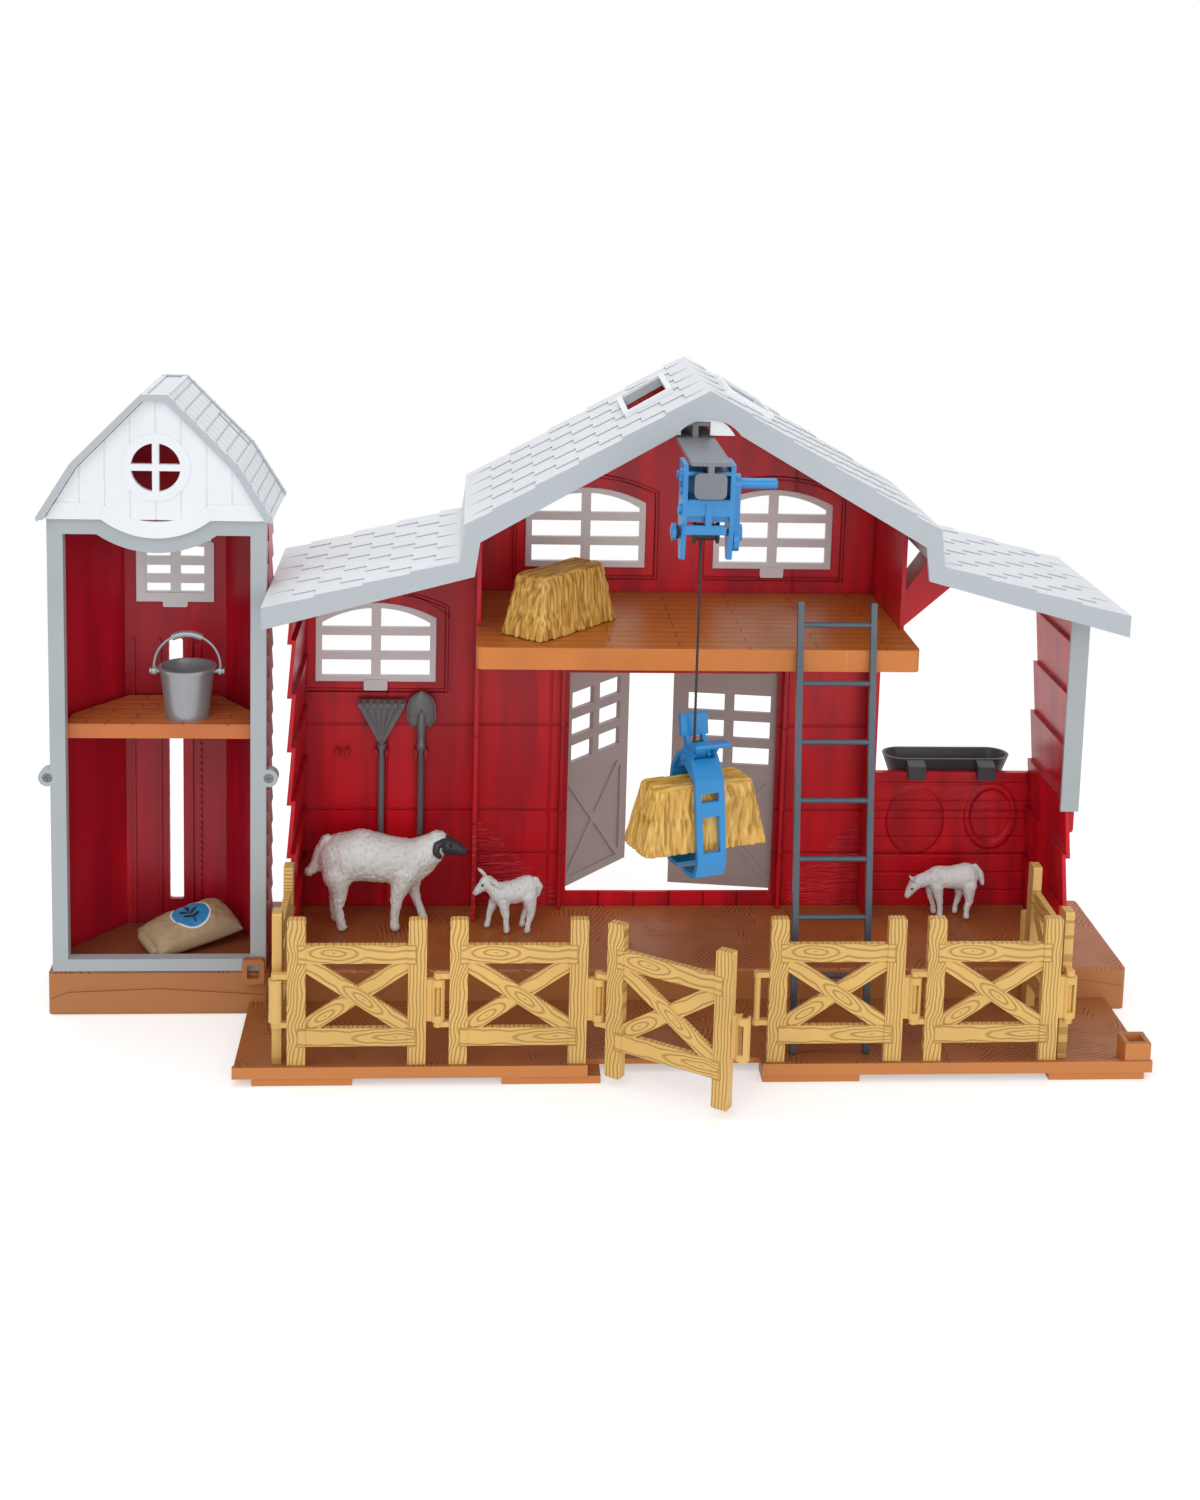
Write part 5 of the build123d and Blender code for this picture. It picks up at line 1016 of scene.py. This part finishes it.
# ------------------------------------------------------------------ hoist
def trolley_trim():
    """Ribs, cross bar and rivet bosses of the hoist's trolley, and the knob on the free end of the axle."""
    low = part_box("trolley")[0] * 1000
    bar_top = 318.4         # below the rail that the trolley slides along
    bm = bmesh.new()
    box_into(bm, (low.x + 2.0, low.y - 0.6, 300.6), (low.x + 24.0, low.y + 1.6, 305.4))
    box_into(bm, (39.3, low.y - 1.0, 305.0), (42.7, low.y + 0.6, bar_top))
    box_into(bm, (31.0, low.y - 0.8, 315.6), (51.0, low.y + 0.4, bar_top))
    for z, radius in ((331.0, 2.5), (322.5, 2.2), (313.0, 2.5)):
        disc_into(bm, 26.6, 28.4, -112.0, z, radius)
    trim("trolley_trim", bm, blue, "trolley")
    end_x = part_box("winch_drum")[0].x * 1000
    axle_y, axle_z = -106, 300
    bm = bmesh.new()
    disc_into(bm, end_x - 1.4, end_x + 0.5, axle_y, axle_z, 4.4)
    disc_into(bm, end_x - 2.0, end_x - 1.2, axle_y, axle_z, 2.4)
    trim("winch_knob", bm, blue, "winch")


trolley_trim()


def cord_knot():
    """The knot over the claw's hub, with its loose end."""
    knot = ((38.2, -106, 189.6, 1.3), (39.8, -106, 190.2, 1.4), (39.0, -106.8, 191.2, 1.1))
    loose_end = ((39.8, -106, 190.4, 0.8), (43.0, -107.0, 192.0, 0.8))
    shape = remeshed(bead_shape("cord_knot", (knot, loose_end)), 0.0003, 2)
    piece(shape, cord_black, "claw", smooth=False)


cord_knot()


def hoist_line():
    """Braided cord from the drum down to the claw's hub."""
    low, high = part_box("hoist_cord")
    mid_x, mid_y = (low.x + high.x) / 2, (low.y + high.y) / 2
    steps, sides, strands, lay, radius = 420, 10, 3, 2600, 0.00074
    bm = bmesh.new()
    rings = []
    for i in range(steps + 1):
        z = low.z + (high.z - low.z) * i / steps
        ring = []
        for angle in around(sides):
            r = radius * (0.90 + 0.10 * math.cos(strands * angle + z * lay))
            ring.append(bm.verts.new((mid_x + r * math.cos(angle), mid_y + r * math.sin(angle), z)))
        rings.append(ring)
    skin(bm, rings)
    line = object_from("hoist_line", bm)
    line.data.materials.append(cord_black)
    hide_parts("hoist_cord")
    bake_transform(line)


hoist_line()


# ------------------------------------------------------------------ stage, light and camera
def seen_directly(tree):
    """1 for rays from the camera, also through or off a surface, and 0 for light on the object."""
    path = tree.nodes.new("ShaderNodeLightPath")
    value = path.outputs["Is Camera Ray"]
    for kind in ("Is Transmission Ray", "Is Glossy Ray"):
        either = tree.nodes.new("ShaderNodeMath")
        either.operation = "MAXIMUM"
        tree.links.new(value, either.inputs[0])
        tree.links.new(path.outputs[kind], either.inputs[1])
        value = either.outputs[0]
    return value


def glow(tree, kind, strength):
    """A white emission or background."""
    node = tree.nodes.new(kind)
    node.inputs["Color"].default_value = (1, 1, 1, 1)
    node.inputs["Strength"].default_value = strength
    return node.outputs[0]


def join(tree, kind, *sources):
    """A shader node with its sockets fed in order."""
    node = tree.nodes.new(kind)
    for source, socket in zip(sources, node.inputs):
        tree.links.new(source, socket)
    return node.outputs[0]


def stage_material():
    """Pale floor: near white to the camera, darker only where the object shades it, and white far away."""
    mat = bpy.data.materials.new("stage_white")
    mat.use_nodes = True
    tree = mat.node_tree
    bsdf = tree.nodes["Principled BSDF"]
    bsdf.inputs["Base Color"].default_value = (0.80, 0.80, 0.80, 1)
    bsdf.inputs["Roughness"].default_value = 0.9
    bsdf.inputs["Specular IOR Level"].default_value = 0.0
    near = join(tree, "ShaderNodeAddShader", bsdf.outputs[0], glow(tree, "ShaderNodeEmission", 0.42))
    place = tree.nodes.new("ShaderNodeNewGeometry")
    length = tree.nodes.new("ShaderNodeVectorMath")
    length.operation = "LENGTH"
    tree.links.new(place.outputs["Position"], length.inputs[0])
    fade = tree.nodes.new("ShaderNodeMapRange")
    fade.inputs["From Min"].default_value = 0.45
    fade.inputs["From Max"].default_value = 0.9
    tree.links.new(length.outputs["Value"], fade.inputs["Value"])
    far = glow(tree, "ShaderNodeEmission", 1.0)
    ground = join(tree, "ShaderNodeMixShader", fade.outputs["Result"], near, far)
    shown = join(tree, "ShaderNodeMixShader", seen_directly(tree), bsdf.outputs[0], ground)
    tree.links.new(shown, tree.nodes["Material Output"].inputs["Surface"])
    return mat


bpy.ops.mesh.primitive_plane_add(size=8.0, location=(0, 0, -0.0002))
floor = bpy.context.object
floor.name = "floor"
floor.data.materials.append(stage_material())


def studio():
    """White all round to the camera, softer as light on the object."""
    world = bpy.data.worlds.new("studio")
    bpy.context.scene.world = world
    world.use_nodes = True
    tree = world.node_tree
    light = tree.nodes["Background"]
    light.inputs["Color"].default_value = (1, 1, 1, 1)
    light.inputs["Strength"].default_value = 0.62
    backdrop = glow(tree, "ShaderNodeBackground", 1.0)
    shown = join(tree, "ShaderNodeMixShader", seen_directly(tree), light.outputs[0], backdrop)
    tree.links.new(shown, tree.nodes["World Output"].inputs["Surface"])


studio()


def area(name, location, target, size, power):
    """A rectangular lamp aimed at a point."""
    data = bpy.data.lights.new(name, "AREA")
    data.shape = "RECTANGLE"
    data.size, data.size_y = size
    data.energy = power
    lamp = bpy.data.objects.new(name, data)
    bpy.context.collection.objects.link(lamp)
    lamp.location = location
    lamp.rotation_mode = "QUATERNION"
    lamp.rotation_quaternion = (Vector(target) - Vector(location)).to_track_quat("-Z", "Y")


area("key", (-0.6, -1.3, 1.3), (0.0, 0.0, 0.15), (1.2, 1.0), 7.0)
area("fill", (0.5, -1.6, 0.45), (0.0, 0.0, 0.15), (1.4, 0.8), 6.5)
area("top", (0.0, 0.2, 1.6), (0.0, 0.0, 0.2), (1.6, 1.2), 7.5)


def photo_camera():
    """The camera fitted to the photo, whose frame is 1200 by 1500 pixels."""
    place = Vector((-0.0764, -1.0749, 0.5127))
    pitch, yaw, roll = math.radians(8.49), math.radians(4.23), math.radians(1.61)
    focal_px, centre_x, centre_y, frame_px = 1991, 618.1, 396.5, 1500
    forward = Vector((math.sin(yaw) * math.cos(pitch), math.cos(yaw) * math.cos(pitch), -math.sin(pitch)))
    level = Vector((math.cos(yaw), -math.sin(yaw), 0.0))
    upright = level.cross(forward)
    right = level * math.cos(roll) + upright * math.sin(roll)
    up = -level * math.sin(roll) + upright * math.cos(roll)
    data = bpy.data.cameras.new("camera")
    camera = bpy.data.objects.new("camera", data)
    bpy.context.collection.objects.link(camera)
    bpy.context.scene.camera = camera
    camera.matrix_world = Matrix.Translation(place) @ Matrix((right, up, -forward)).transposed().to_4x4()
    data.sensor_fit = "AUTO"
    data.sensor_width = 36.0
    data.lens = focal_px * data.sensor_width / frame_px
    data.shift_x = (600 - centre_x) / frame_px
    data.shift_y = (centre_y - 750) / frame_px
    data.clip_start, data.clip_end = 0.01, 20.0


photo_camera()
bpy.context.scene.view_settings.view_transform = "Standard"
